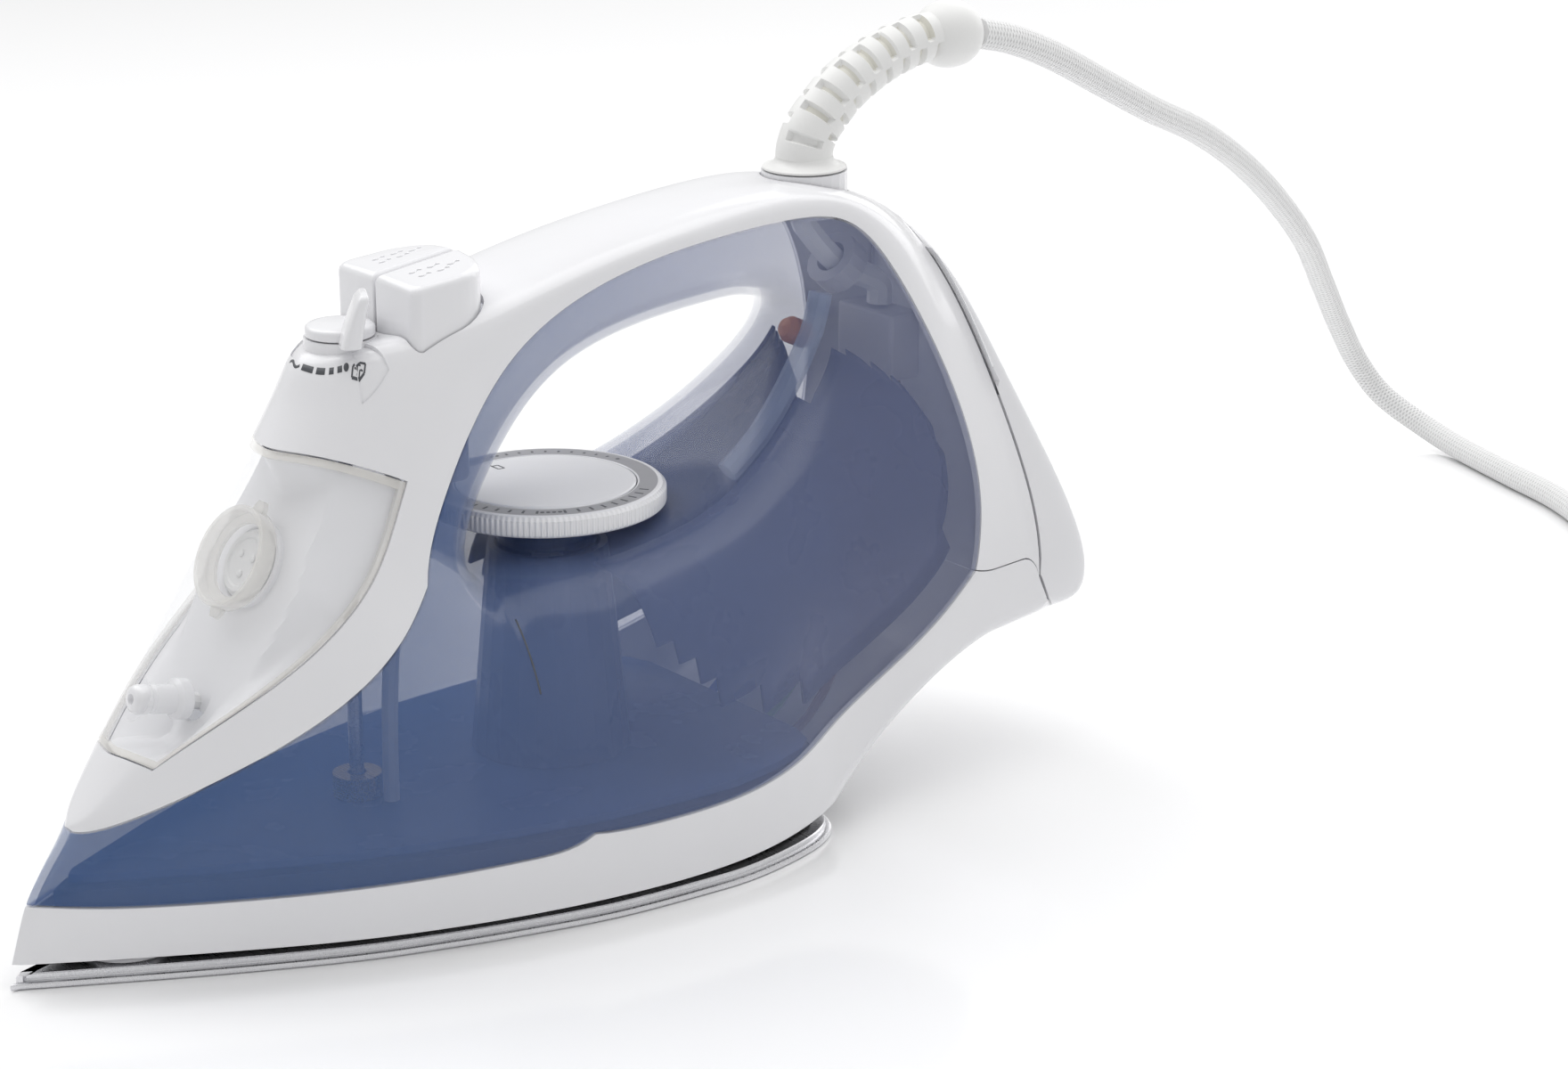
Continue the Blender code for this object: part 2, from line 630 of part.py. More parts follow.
def heating():
    """The cast block on the sole, its element, its steam chamber's cover and the dark tray over them."""
    low, high = BLOCK_HEIGHTS
    plate("heater_block", sole_outline(9, 46, 200), low, high, "cast")
    half = [(24, 170), (23, 140), (20, 110), (14, 80), (7, 62)]
    route = [(18, 203), *half, (0, 57), *[(-x, y) for x, y in reversed(half)], (-18, 203)]
    centre = high + GAP + ELEMENT_RADIUS
    tube("heating_element", smooth_path([at(x, y, centre) for x, y in route], 3),
         ELEMENT_RADIUS, "steel")
    cover = [(-10, 86), (10, 86), (16, 104), (18, 130), (18, 168), (14, 172), (-14, 172),
             (-18, 168), (-18, 130), (-16, 104)]
    plate("steam_chamber_cover", cover, high + GAP, high + 2.5, "steel")
    rod("thermal_fuse", (-7, 184, high + 2.1), (7, 184, high + 2.1), 1.8, "grey", 12)

    plate("heat_shield", sole_outline(5, 14, 209.5), 4.3, 22, "dark")
    shield = bpy.data.objects["heat_shield"]
    cut(shield, plate("shield_hollow", sole_outline(6.6, 17, 208), 0, 20.5, None, hidden=True))
    pad_x, pad_y = NOSE_PAD
    turned("nose_pad", ((0, 5.8), (12, 5.8), (12, 3.9), (0, 3.9)), at(pad_x, pad_y, 0),
           (0, 0, 1), "grey")
    cut(shield, rod("pad_room", (pad_x, pad_y, 0), (pad_x, pad_y, 6.1), 12.4, None, hidden=True))
    for name, x in (("live_way", 18), ("neutral_way", -18), ("earth_way", 6)):
        cut(shield, rod(name, (x, 205, centre), (x, 212, centre), 1.9, None, 8, True))
    return centre


def thermostat(tank):
    x, y = DIAL_CENTRE
    plate("tank_floor", sole_outline(7, 18, 207), 23, 25, "blue")
    well = ((15, 78.3), (20, 25.4), (18.2, 25.4), (13.2, 78.3), (15, 78.3))
    turned("thermostat_well", well, at(x, y, 0), (0, 0, 1), "navy")
    box("thermostat_body", (-10, y - 8, 26), (10, y + 8, 34), "cast", 1)
    rod("dial_shaft", (x, y, 34.3), (x, y, DIAL_BOTTOM - GAP), 4, "grey")
    turned("dial_bush", ring_profile(5.3, 12.6, 79, 86.8), at(x, y, 0), (0, 0, 1), "navy")
    cut(tank, rod("bush_hole", (x, y, 70), (x, y, 95), 13, None, 24, True))
    knob = ((0, DIAL_TOP - 1.8), (CAP_RADIUS + GAP, DIAL_TOP - 1.8),
            (CAP_RADIUS + GAP, DIAL_TOP), (DIAL_RADIUS - 0.8, DIAL_TOP),
            (DIAL_RADIUS, DIAL_TOP - 0.8), (DIAL_RADIUS, DIAL_BOTTOM + 0.8),
            (DIAL_RADIUS - 0.8, DIAL_BOTTOM), (0, DIAL_BOTTOM))
    turned("temperature_dial", knob, at(x, y, 0), (0, 0, 1), "white", 40)
    cap = ((0, DIAL_TOP + 0.2), (CAP_RADIUS, DIAL_TOP + 0.2),
           (CAP_RADIUS, DIAL_TOP - 1.5), (0, DIAL_TOP - 1.5))
    turned("dial_cap", cap, at(x, y, 0), (0, 0, 1), "white", 40)


def steam_lever(handle):
    """The steam lever's disc and fin on a round boss, and the rod down to its valve."""
    x, y = LEVER_AXIS
    cut(handle, rod("lever_boss", (x, y, 130), (x, y, BOSS_TOP), 8.6, None, 24, True), "UNION")
    cut(handle, rod("rod_way", (x, y, 120), (x, y, 145), 2.4, None, 12, True))
    low, high = BOSS_TOP + GAP, LEVER_DISC_TOP
    disc = ((0, high), (7.6, high), (8.2, high - 0.6), (8.2, low), (0, low))
    lever = turned("steam_lever", disc, at(x, y, 0), (0, 0, 1), "white")
    fin = bmesh.new()
    # In the lever's own frame the fin points along -Y and leans to +X.
    base = [(-1.9, -15), (1.9, -15), (1.9, -4), (-1.9, -4)]
    top = [(2.2, -14.5), (5, -14.5), (5, -5), (2.2, -5)]
    rings = [[(px, py, low) for px, py in base], [(px, py, LEVER_TOP) for px, py in top]]
    verts = [[fin.verts.new(Vector(p) * MM) for p in ring] for ring in rings]
    fin.faces.new(reversed(verts[0]))
    fin.faces.new(verts[1])
    for i in range(4):
        fin.faces.new((verts[0][i], verts[0][(i + 1) % 4], verts[1][(i + 1) % 4], verts[1][i]))
    mesh = bpy.data.meshes.new("lever_fin")
    fin.to_mesh(mesh)
    fin.free()
    fin = cutter("lever_fin", mesh)
    fin.location = at(x, y, 0)
    fin.rotation_euler.z = math.radians(LEVER_REST)
    cut(lever, fin, "UNION")
    rod("valve_rod", (x, y, 26), (x, y, BOSS_TOP), 1.8, "steel", 12)
    turned("valve_seat", ring_profile(2.3, 6, 25.3, 31), at(x, y, 0), (0, 0, 1), "brass")


def button(name, side):
    """One of the two thumb buttons, its top falling towards the front and the side."""
    (near, far), (front, rear) = BUTTON_SIDE, BUTTON_ALONG
    places = (
        (near, front, BUTTON_FOOT), (far, front, BUTTON_FOOT), (far, rear, BUTTON_FOOT),
        (near, rear, BUTTON_FOOT), (near, front, 152), (far, front, 149.6),
        (far, rear, 153.5), (near, rear, 156),
    )
    shape = bmesh.new()
    middle = Vector(((near + far) / 2 * side, (front + rear) / 2, BUTTON_FOOT))
    verts = [shape.verts.new((Vector((x * side, y, z)) - middle) * MM) for x, y, z in places]
    for loop in ((3, 2, 1, 0), (4, 5, 6, 7), (0, 1, 5, 4), (1, 2, 6, 5), (2, 3, 7, 6), (3, 0, 4, 7)):
        shape.faces.new([verts[i] for i in loop])
    bmesh.ops.recalc_face_normals(shape, faces=shape.faces)
    mesh = bpy.data.meshes.new(name)
    shape.to_mesh(mesh)
    shape.free()
    obj = piece(name, mesh, "white")
    obj.location = at(*middle)
    rounding = obj.modifiers.new("edges", "BEVEL")
    rounding.width = 1.6 * MM
    rounding.segments = 2


def pump(kind, side):
    """Under a button: its piston, the barrel that takes it and the return spring between."""
    x, y = PUMP_X * side, PUMP_Y
    rod(f"{kind}_piston", (x, y, PISTON_FOOT), (x, y, BUTTON_FOOT - GAP), 3, "grey")
    turned(f"{kind}_barrel", ring_profile(3.5, 6.5, BARREL_FOOT, BARREL_TOP), at(x, y, 0),
           (0, 0, 1), "grey")
    low, high = BARREL_TOP + GAP + SPRING_WIRE, BUTTON_FOOT - GAP - SPRING_WIRE
    count = round(SPRING_TURNS * 12)
    route = []
    for i in range(count + 1):
        angle = math.tau * SPRING_TURNS * i / count
        height = low + (high - low) * i / count
        route.append(at(x + SPRING_RADIUS * math.cos(angle),
                        y + SPRING_RADIUS * math.sin(angle), height))
    spring = tube(f"{kind}_spring", route, SPRING_WIRE, "steel")
    spring.data.bevel_resolution = 0


def buttons(handle):
    front, rear = BUTTON_ALONG
    side = BUTTON_SIDE[1] + 0.6
    cut(handle, box("button_well", (-side, front - 0.6, 120), (side, rear + 0.8, 170), None,
                    hidden=True))
    button("burst_button", 1)
    button("spray_button", -1)
    pump("burst", 1)
    pump("spray", -1)


def filler(door, tray):
    """The filler's neck in the tray, the door's plug and seal, and the spray nozzle."""
    mouth, axis = at(0, *MOUTH), Vector((0, *MOUTH_AXIS))
    turned("filler_neck", ring_profile(9, 10.4, -14, 0.8), mouth, axis, "white")
    turned("plug_seal", ((0, 2.8), (8.4, 2.8), (8.4, -2.5), (0, -2.5)), mouth, axis, "rubber")
    cup = ((0, 4.4), (10.2, 4.4), (10.2, 6.4), (11.4, 6.4), (11.4, 3.1), (0, 3.1))
    turned("filler_plug", cup, mouth, axis, "clear")
    hole = ((0, 9), (10.8, 9), (10.8, -16), (0, -16))
    cut(tray, turned("neck_hole", hole, mouth, axis, None, hidden=True))
    back, tip = (0, *NOZZLE_BACK), (0, *NOZZLE_TIP)
    rod("spray_nozzle", back, tip, NOZZLE_RADIUS, "white")
    beyond = Vector(tip) * 1.6 - Vector(back) * 0.6
    behind = Vector(back) * 1.3 - Vector(tip) * 0.3
    cut(door, rod("nozzle_notch", behind, beyond, NOZZLE_RADIUS + 1.7, None, hidden=True))
    cut(tray, bpy.data.objects["nozzle_notch"])


def hoses():
    paths = {
        "spray_hose": ((0, 50.6, 60.4), (-2, 60, 57), (-6, 74, 58), (-8.5, 92, 70),
                       (-9, 104, 82), (-9, 111, 93), (-9, 117, 103.6)),
        "burst_hose": ((9, 117, 103.6), (9, 111, 93), (9, 104, 80), (9, 101, 60),
                       (9, 100, 40), (9, 100, 25.6)),
    }
    for name, places in paths.items():
        tube(name, smooth_path([at(*p) for p in places], 2), 2, "rubber")
    places = ((8, 233, 130), (8, 230, 120), (8, 222, 107), (8, 213, 96), (8, 203, 88))
    tube("inner_water_tube", smooth_path([at(*p) for p in places], 2), 3, "clear")
    lamp = ((0, 4), (2.4, 3.2), (3.5, 1.5), (3.5, -4), (0, -4))
    turned("pilot_lamp", lamp, at(0, 230.5, 118.8), (0, -0.9, 0.44), "amber", 16)


def cord_guard(handle):
    """The swivelling guard: neck, flange, a curved tapering sleeve and the ball at its end."""
    y = GUARD_AXIS_Y
    turned("guard_seat", ring_profile(7.7, 11, 149.5, 160.6), at(0, y, 0), (0, 0, 1), "white")
    cut(handle, rod("seat_hole", (0, y, 140), (0, y, 175), 11.4, None, 24, True))
    base = ((0, 163.6), (7.3, 163.4), (7.7, 162.4), (10.8, 161.7), (10.8, 160.9), (7.3, 160.9),
            (7.3, 150.4), (0, 150.4))
    guard = turned("cord_guard", base, at(0, y, 0), (0, 0, 1), "cover")
    route = smooth_path([at(0, *place) for place in GUARD_ROUTE], 3)
    shares = [1 - GUARD_TAPER * i / (len(route) - 1) for i in range(len(route))]
    sleeve = as_mesh(tube("guard_sleeve", route, GUARD_RADIUS, None, True, shares))
    cut(guard, sleeve, "UNION")
    half = [i * math.pi / 10 for i in range(11)]
    ball = [(BALL_RADIUS * math.sin(a), BALL_RADIUS * math.cos(a)) for a in half]
    ball[0], ball[-1] = (0, BALL_RADIUS), (0, -BALL_RADIUS)
    cut(guard, turned("guard_ball", ball, at(0, *BALL_CENTRE), (0, 1, 0), None, 20, True), "UNION")


def wiring(element_height):
    """Inside: the cord's sheath down to the terminals, and three leads on to the heater."""
    box("terminal_block", (-11, 254, 103), (11, 264, 121), "grey", 1)
    sheath = ((0, 234, 148.6), (0, 234.4, 145.6), (0, 245, 134.5), (0, 256, 129), (0, 259, 126), (0, 259, 121.6))
    tube("inner_cord", smooth_path([at(*p) for p in sheath], 3), 3.3, "textile")
    turned("cord_clamp", ring_profile(4.3, 7.5, -3, 3), at(0, 245, 134.5), (0, 0.76, -0.65),
           "grey", 16)
    leads = {"live_lead": (18, "brown"), "neutral_lead": (-18, "sky"), "earth_lead": (6, "green")}
    for name, (x, finish) in leads.items():
        places = ((x * 0.4, 259, 102.6), (x * 0.4, 259, 90), (x * 0.5, 252, 68), (x * 0.8, 240, 44),
                  (x, 226, 26), (x, 217, 18), (x, 210, element_height),
                  (x, 203.4, element_height))
        tube(name, smooth_path([at(*p) for p in places], 2), 1.2, finish)


def cord():
    """The mains cord: the part seen, the bundle of turns, its tie, the tail and the plug."""
    tube("cord", smooth_path([at(*p) for p in CORD_ROUTE], 4), CORD_RADIUS, "textile")
    low, high = COIL_MEAN_RADIUS - COIL_HALF_WIDTH, COIL_MEAN_RADIUS + COIL_HALF_WIDTH
    section = ((low + 3, COIL_TOP), (high - 3, COIL_TOP), (high, COIL_TOP - 3),
               (high, COIL_BOTTOM + 3), (high - 3, COIL_BOTTOM), (low + 3, COIL_BOTTOM),
               (low, COIL_BOTTOM + 3), (low, COIL_TOP - 3), (low + 3, COIL_TOP))
    x, y = COIL_CENTRE
    turned("cord_coil", section, at(x, y, 0), (0, 0, 1), "textile", 32)
    inner, outer = x + low - 0.5, x + high + 0.5
    tie = box("coil_tie", (inner - 1, y - 5, 0.05), (outer + 1, y + 5, COIL_TOP + 1.4), "rubber")
    cut(tie, box("tie_way", (inner, y - 9, 0.5), (outer, y + 9, COIL_TOP + 0.4), None,
                 hidden=True))
    tube("cord_tail", smooth_path([at(*p) for p in TAIL_ROUTE], 4), CORD_RADIUS, "textile")
    px, py, pz = TAIL_ROUTE[-1]
    along = (0, 1, 0)
    relief = ((0, 30.3), (8.5, 30.3), (4.7, 0.3), (0, 0.3))
    turned("plug_relief", relief, at(px, py, pz), along, "cover")
    body = ((0, 68), (14, 68), (17.4, 64), (17.4, 50), (13, 40), (9.5, 30.6), (0, 30.6))
    turned("plug_body", body, at(px, py, pz), along, "cover")
    for name, side in (("plug_pin_left", -9.5), ("plug_pin_right", 9.5)):
        pin = ((0, 87), (1.6, 87), (2.4, 86), (2.4, 68.3), (0, 68.3))
        turned(name, pin, at(px + side, py, pz), along, "brass", 12)


def hang(name, place, *names):
    """An empty on a joint's axis, which carries the pieces that move with it."""
    joint = bpy.data.objects.new(name, None)
    joint.empty_display_size = 0.02
    GROUPS["parts"].objects.link(joint)
    joint.location = place
    bpy.context.view_layer.update()
    for held in names:
        obj = bpy.data.objects[held]
        frame = obj.matrix_world.copy()
        obj.parent = joint
        obj.matrix_parent_inverse = joint.matrix_world.inverted()
        obj.matrix_world = frame


def joints():
    hang("dial_joint", at(*DIAL_CENTRE, DIAL_BOTTOM), "temperature_dial", "dial_cap", "dial_shaft")
    hang("lever_joint", at(*LEVER_AXIS, BOSS_TOP), "steam_lever", "valve_rod")
    hang("door_joint", at(0, *DOOR_HINGE), "filler_door", "filler_plug", "plug_seal")
    hang("burst_joint", at(PUMP_X, PUMP_Y, BUTTON_FOOT), "burst_button", "burst_piston")
    hang("spray_joint", at(-PUMP_X, PUMP_Y, BUTTON_FOOT), "spray_button", "spray_piston")
    hang("guard_joint", at(0, GUARD_AXIS_Y, 163), "cord_guard", "cord", "cord_coil", "coil_tie",
         "cord_tail", "plug_relief", "plug_body", "plug_pin_left", "plug_pin_right")


def main():
    for obj in list(bpy.data.objects):
        bpy.data.objects.remove(obj)
    GROUPS["parts"] = collection("steam_iron")
    GROUPS["cutters"] = collection("cutters")
    FINISHES.update(finishes())
    made = shells()
    soleplate()
    element_height = heating()
    thermostat(made["tank"])
    steam_lever(made["handle"])
    buttons(made["handle"])
    filler(made["door"], made["tray"])
    hoses()
    cord_guard(made["handle"])
    wiring(element_height)
    cord()
    joints()


main()
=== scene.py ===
"""Looks of the steam iron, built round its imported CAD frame.

World units are metres, +Z up, the nose along -Y. Places below are in millimetres, as x to
the side, y behind the soleplate's tip and z above the floor.
"""

import math

import bmesh
import bpy
from mathutils import Matrix, Vector
from mathutils.bvhtree import BVHTree


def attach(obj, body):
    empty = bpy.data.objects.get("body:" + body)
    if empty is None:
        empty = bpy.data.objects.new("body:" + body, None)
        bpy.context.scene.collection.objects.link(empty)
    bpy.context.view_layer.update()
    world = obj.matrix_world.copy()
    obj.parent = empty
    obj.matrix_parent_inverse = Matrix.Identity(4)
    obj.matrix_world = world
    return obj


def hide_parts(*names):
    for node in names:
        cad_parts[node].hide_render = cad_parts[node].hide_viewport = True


MM = 0.001
TIP_Y = -0.150  # the soleplate's tip
GAP = 0.3  # clearance between touching pieces
SHELL = 2.0  # wall of the outer shells
MERGE = 0.0001
AXIS_HOLE = 0.004  # radius of a turned shape at its axis, welded shut in loft()
FINE = 3  # subdivisions of the outer form

SOLE_THICKNESS = 3.6
STEAM_HOLE = 1.3
STEAM_HOLES = ((0, 38), (9, 56), (17, 80), (24, 104), (30, 130), (32, 158), (28, 184))
NOSE_PAD = (0, 32)
SOLE_HALF_OUTLINE = (
    (0.0, 0.9), (8.8, 17), (23, 44), (36, 72), (43, 92), (49, 113), (54, 136),
    (56, 161), (56, 175), (53, 191), (48.6, 203), (42, 210.5), (32, 214), (16, 214.5),
)

DIAL_CENTRE = (0, 153)
DIAL_RADIUS = 29.6
DIAL_BOTTOM = 87.9
DIAL_TOP = 93.4
CAP_RADIUS = 22.2
BUSH_HOLE = 13
KNURLS = 132

LEVER_AXIS = (0, 96)
LEVER_REST = 63  # degrees from straight ahead towards +X
LEVER_TOP = 152.5
LEVER_DISC_TOP = 143
LEVER_DISC_RADIUS = 8.2
BOSS_TOP = 139.9
BOSS_RADIUS = 8.6
ROD_WAY = 2.4
BUTTON_SIDE = (0.5, 17.2)
BUTTON_ALONG = (105.6, 129)
BUTTON_FOOT = 134
BUTTON_HEIGHT = 153  # of the top's front corner in the middle
BUTTON_RISE = 3.4  # towards the rear
BUTTON_FALL = 0.3  # towards the side in front
BUTTON_TWIST = 1.6  # further fall towards the side at the rear
STEAM_MARKS = ((6.5, 118), (10, 118.5), (6.5, 113), (10, 113.4), (8.2, 122.5))

NOZZLE_BACK = (50, 60.5)
NOZZLE_TIP = (36.5, 63.5)
NOZZLE_RADIUS = 3.5
MOUTH = (70, 89)  # the filler's mouth, and the way that it faces
MOUTH_AXIS = (-0.866, 0.5)
NECK_HOLE = 10.8
NOTCH_GAP = 1.7  # room round the nozzle in the door and the tray
DOOR_WALL = 1.6
TRAY_WALL = 1.1
TRAY_INSET = 0.5
BACK_WALL = 1.6
BACK_INSET = 0.6
TANK_INSET = 0.35

GUARD_AXIS_Y = 234
SEAT_HOLE = 11.4
GUARD_ROUTE = (
    (233.8, 163), (234.2, 166), (236, 170), (239.5, 174), (246.5, 180), (257.5, 185.6),
    (269.5, 189), (280, 189.8),
)
GUARD_RADIUS = 7.3
GUARD_TAPER = 0.14
SLOT_START = 4.5
SLOT_SPACES = 9.2  # pitches in the sleeve's length
SLOT_LAST = 7
SLOT_DEPTH = 1.5
SLOT_HALF_WIDTH = 0.75
SLOT_HALF_ANGLE = 0.62
SLOT_ROWS = ((0.5, 0.0), (1.5, 0.5), (-0.5, 0.5), (-1.5, 0.0))  # quarter turns, shift in pitches
BALL_CENTRE = (281.5, 189.6)
BALL_RADIUS = 8.8
CORD_RADIUS = 3.95
COIL_CENTRE = (85, 560)
COIL_LAYERS = (4.9, 11.75)
COIL_START = 251.5  # degrees, where the cord comes in

# Each rib of the water tank runs from its outer parting line, by two handles, to the middle
# of the finger opening: (x, y, z), (x, y, z), (x, y, z), (y, z).
TANK_RIBS = (
    ((53, 130, 17.5), (51, 131, 70), (40, 131, 92), (130, 81.5)),
    ((56, 152, 17.5), (54, 152, 72), (42, 149, 96), (147, 81)),
    ((55.5, 175, 17.5), (54, 173, 74), (41, 168, 100), (166, 81.5)),
    ((51, 195, 20.5), (52, 191, 76), (40, 187, 106), (186, 84.5)),
    ((45.5, 208, 26.5), (48, 203, 78), (38, 199, 112), (198, 92)),
    ((42.5, 226, 33), (46, 219, 82), (35, 210, 117), (207, 101)),
    ((42, 246, 43), (45, 235, 88), (32, 220, 122), (214.5, 111)),
    ((41.3, 260, 56), (43, 246, 94), (29, 227, 126), (219, 119)),
    ((38.8, 264, 75), (40, 250, 102), (26, 231, 130), (220.5, 124)),
    ((33, 262, 97), (35, 248, 112), (23, 231, 132), (219.5, 127.5)),
    ((27, 256.5, 116.5), (29, 243, 122), (20, 227, 133), (215.5, 130)),
    ((21.5, 247.5, 136.5), (23.5, 235, 133), (17.5, 220, 133), (210, 131.3)),
    ((18.5, 236.5, 152.5), (20, 228, 143), (16, 211, 133.5), (203, 131.5)),
    ((18.3, 219, 154.5), (19.3, 215, 143), (15.5, 199, 132.5), (194, 131)),
    ((18.3, 199, 153.6), (19.3, 197, 142), (15.5, 184, 131.5), (182, 130)),
    ((18.5, 179, 151.8), (19.5, 178, 140.5), (15.5, 170, 129.5), (169, 128)),
    ((19, 160, 148), (20, 161, 137), (15.5, 157, 126), (156, 124.5)),
    ((19.5, 144, 142), (20.5, 148, 132), (15.5, 146, 120.5), (145, 119)),
    ((20.3, 130, 132.5), (21.3, 137, 124), (16, 136.5, 112), (135.5, 111)),
    ((21.5, 119, 119), (22.5, 127, 113), (16.5, 129.5, 103), (128.5, 102)),
    ((23.5, 109.5, 104), (25, 117, 99), (18, 123, 94), (122, 94)),
    ((27, 99, 86), (30, 108, 83), (22, 120, 87), (118, 87.5)),
    ((37, 108, 62), (40, 117, 69), (27, 120, 85), (118.5, 83)),
    ((47, 119, 38), (48, 124, 60), (34, 123, 86), (122.5, 81.8)),
)
NOSE_LINE_END = 18  # the nose's ridge is a crease as far back as this
NOSE_CREASE = 0.85
CORNER_RIB = 21  # where the tank, the nose side and the white shell meet
REAR_RIBS = (10, 9, 8, 7)  # the tank's ribs that face the back cover's columns
# The tank's nose side: lower parting line and upper parting line of each column.
NOSE_SIDE = (
    ((0, 6, 20.5), (0, 17, 35)),
    ((11, 22, 18.6), (10.5, 25, 38.5)),
    ((24, 47, 17.8), (20.5, 41, 45.5)),
    ((36, 71, 17.5), (28.5, 59, 54.5)),
    ((45, 95, 17.5), (32.3, 77, 64.5)),
    ((50, 114, 17.5), (31.5, 90, 75)),
)
# The white shell's ribs over the nose and along the handle: two handles, the end on the
# middle plane, and how far along the rib the filler door's edge lies.
SHIELD_RIBS = (
    ((9, 23, 41), (5, 22, 41), (21.5, 40.5), 0.5),
    ((19, 36, 49), (9, 30, 53), (29.5, 51.5), 0.6),
    ((27, 50, 61), (13, 40, 68), (38.5, 66), 0.42),
    ((31, 65, 74), (16, 50, 84), (46.5, 79), 0.3),
    ((31.5, 77, 86), (18, 59, 98), (54, 90.5), 0.24),
    ((28.5, 86, 96), (19, 67, 107), (61.5, 101.5), 0.2),
    ((25.5, 95, 113), (19, 76, 121), (73.5, 117.5), 0.24),
    ((23.5, 103, 127), (18, 83, 132), (79.6, 129), 0.25),
    ((22, 115, 139), (18, 91, 141), (81.3, 140), 0.25),
    ((21, 130, 146), (18, 108, 142), (101, 136.2), 0.25),
    ((20, 149, 150), (17, 128, 148), (121, 144), 0.25),
    ((19, 172, 154.5), (14, 152, 154.5), (141, 150.5), 0.25),
    ((18.6, 196, 157.5), (12, 176, 158.5), (166, 156), 0.25),
    ((18.6, 218, 159.5), (12, 205, 161.5), (195, 160.3), 0.25),
    ((18.8, 239, 158), (12, 234, 162), (226, 160.5), 0.25),
    ((21.5, 254, 143), (12, 260, 150), (260, 150.5), 0.25),
)
DOOR_COLUMNS = (2, 7)  # first and last column that the filler door covers
# The back cover: its front edge, its flared rim, and its middle, column by column downwards.
BACK_COLUMNS = (
    ((17, 267.5, 132), (17.5, 270.5, 132.5), (273.5, 132.5)),
    ((25.5, 276, 103), (27.5, 281, 103.5), (286.5, 104)),
    ((35.5, 279.5, 76), (39.5, 291, 75.5), (298, 77)),
    ((41, 278.5, 56.5), (45.5, 297, 54.5), (302.6, 56)),
    ((43, 283, 43.5), (44.5, 293.5, 44), (300.5, 44.5)),
)
# Lower edge of the skirt, from the nose to where it turns up behind the soleplate.
SKIRT_EDGE = (
    (0, 1.5, 6.5), (12, 23, 6.2), (25, 48, 6), (37, 72, 6), (45.5, 96, 6), (50.5, 115, 6),
    (53.5, 131, 6), (56, 153, 6), (55.5, 176, 6.3), (51.5, 196, 8), (46.5, 209, 10.5),
    (41.5, 225, 20), (40.5, 245, 32.5), (41.5, 262, 40), (43, 283, 43.5),
)
RAMP_START = 10  # the skirt's column where the rear wall begins
# Rear wall of the skirt: shoulder, quarter and middle of each column.
RAMP = (
    ((38, 216, 9), (20, 218, 8.5), (0, 218.5, 8.5)),
    ((34, 226.5, 17), (17, 227, 16.5), (0, 227, 16.5)),
    ((33, 246, 30), (17, 246.5, 29.5), (0, 246.5, 29.5)),
    ((34, 262.5, 38), (17, 262.5, 37.5), (0, 262.5, 37.5)),
    ((35, 287, 41.5), (17, 287.5, 41), (0, 288, 41)),
)

# The cord's centre line from the ball to the coil, and from the coil to the plug.
CORD_ROUTE = (
    (0, 291.2, 188.7), (-3.5, 307, 184.6), (-10, 328, 176.8), (-20, 355, 165), (-32, 386, 151.6),
    (-46, 418, 139.2), (-60, 449, 124.5), (-74, 480, 106.5), (-89, 511.5, 84.5),
    (-103, 536, 63.5), (-112, 555, 44), (-115.5, 569, 27.5), (-110.5, 577, 15.5),
    (-96, 582, 7.2), (-76, 578.6, 4.3), (-48, 570, 4.1), (-20, 561.5, 4.1), (4, 549, 4.1),
    (26.5, 531, 4.4), (47.5, 512.5, 4.8), (65.8, 502.7, 5),
)
TAIL_ROUTE = (
    (128, 516, 13.4), (138.5, 522, 14.8), (147, 530.5, 16.4), (152.8, 540, 17.6),
    (155, 548, 18), (155, 552, 18),
)
TAIL_LEAD = ((99.0, 512.6, 12.3), (114.5, 512.2, 12.9))

# The tray's side facet and low facet, each through three places, and its depth under the door.
TRAY_SIDE_FACET = ((23.9, 82.6, 110.7), (17.5, 62.1, 75.3), (30, 88, 88))
TRAY_LOW_FACET = ((17.5, 62, 75), (-17.5, 62, 75), (0, 50, 53))
TRAY_DEPTH = (2.4, 15.5)
TRAY_RISE = (0.0, 0.12, 0.45, 0.8, 0.95, 1.0, 1.0)  # share of the depth, ring by ring inwards

# An oval patch of the tank's skin, set in and coloured near-black navy: the chamber's inner wall,
# its darkness painted shade inside the tank.
CHAMBER_INSET = 6.5
CHAMBER_CENTRE = (205, 82)
CHAMBER_REACH = (52, 42)
CHAMBER_SIDE = 17
CHAMBER_WALL = 1.0
SCALE_RADIUS = 12.3  # of the scale printed round the lever
SCALE_HALF_WIDTH = 0.42
SCALE_BARS = ((12, 27), (31, 41), (45.5, 50.5), (54.5, 59.5))  # degrees from straight ahead
PRINT_HEIGHT = 175  # flat marks are drawn here, above the shell, and dropped onto it
LEVEL_LINE = ((114, 57.5), (113, 73))
LEVEL_HALF_WIDTH = 0.2

# Each lamp: its name, its place and its width in metres, and its power in watts between them.
LAMPS = (
    ("key", (-0.9, -0.3, 1.3), 9.0, 1.2), ("top", (0.1, 0.25, 1.6), 9.0, 1.4),
    ("back", (-0.4, 1.6, 1.0), 12.0, 1.6),
)
LAMP_TARGET = (0, 0.05, 0.08)
FLOOR_SIZE = 3.0
WORLD_LIGHT = 0.62
VIEW_ANGLES = (51.65, 18.12)
VIEW_DISTANCE = 0.949
VIEW_TARGET = (0.0, 0.0775, 0.0645)
LENS = 83.8
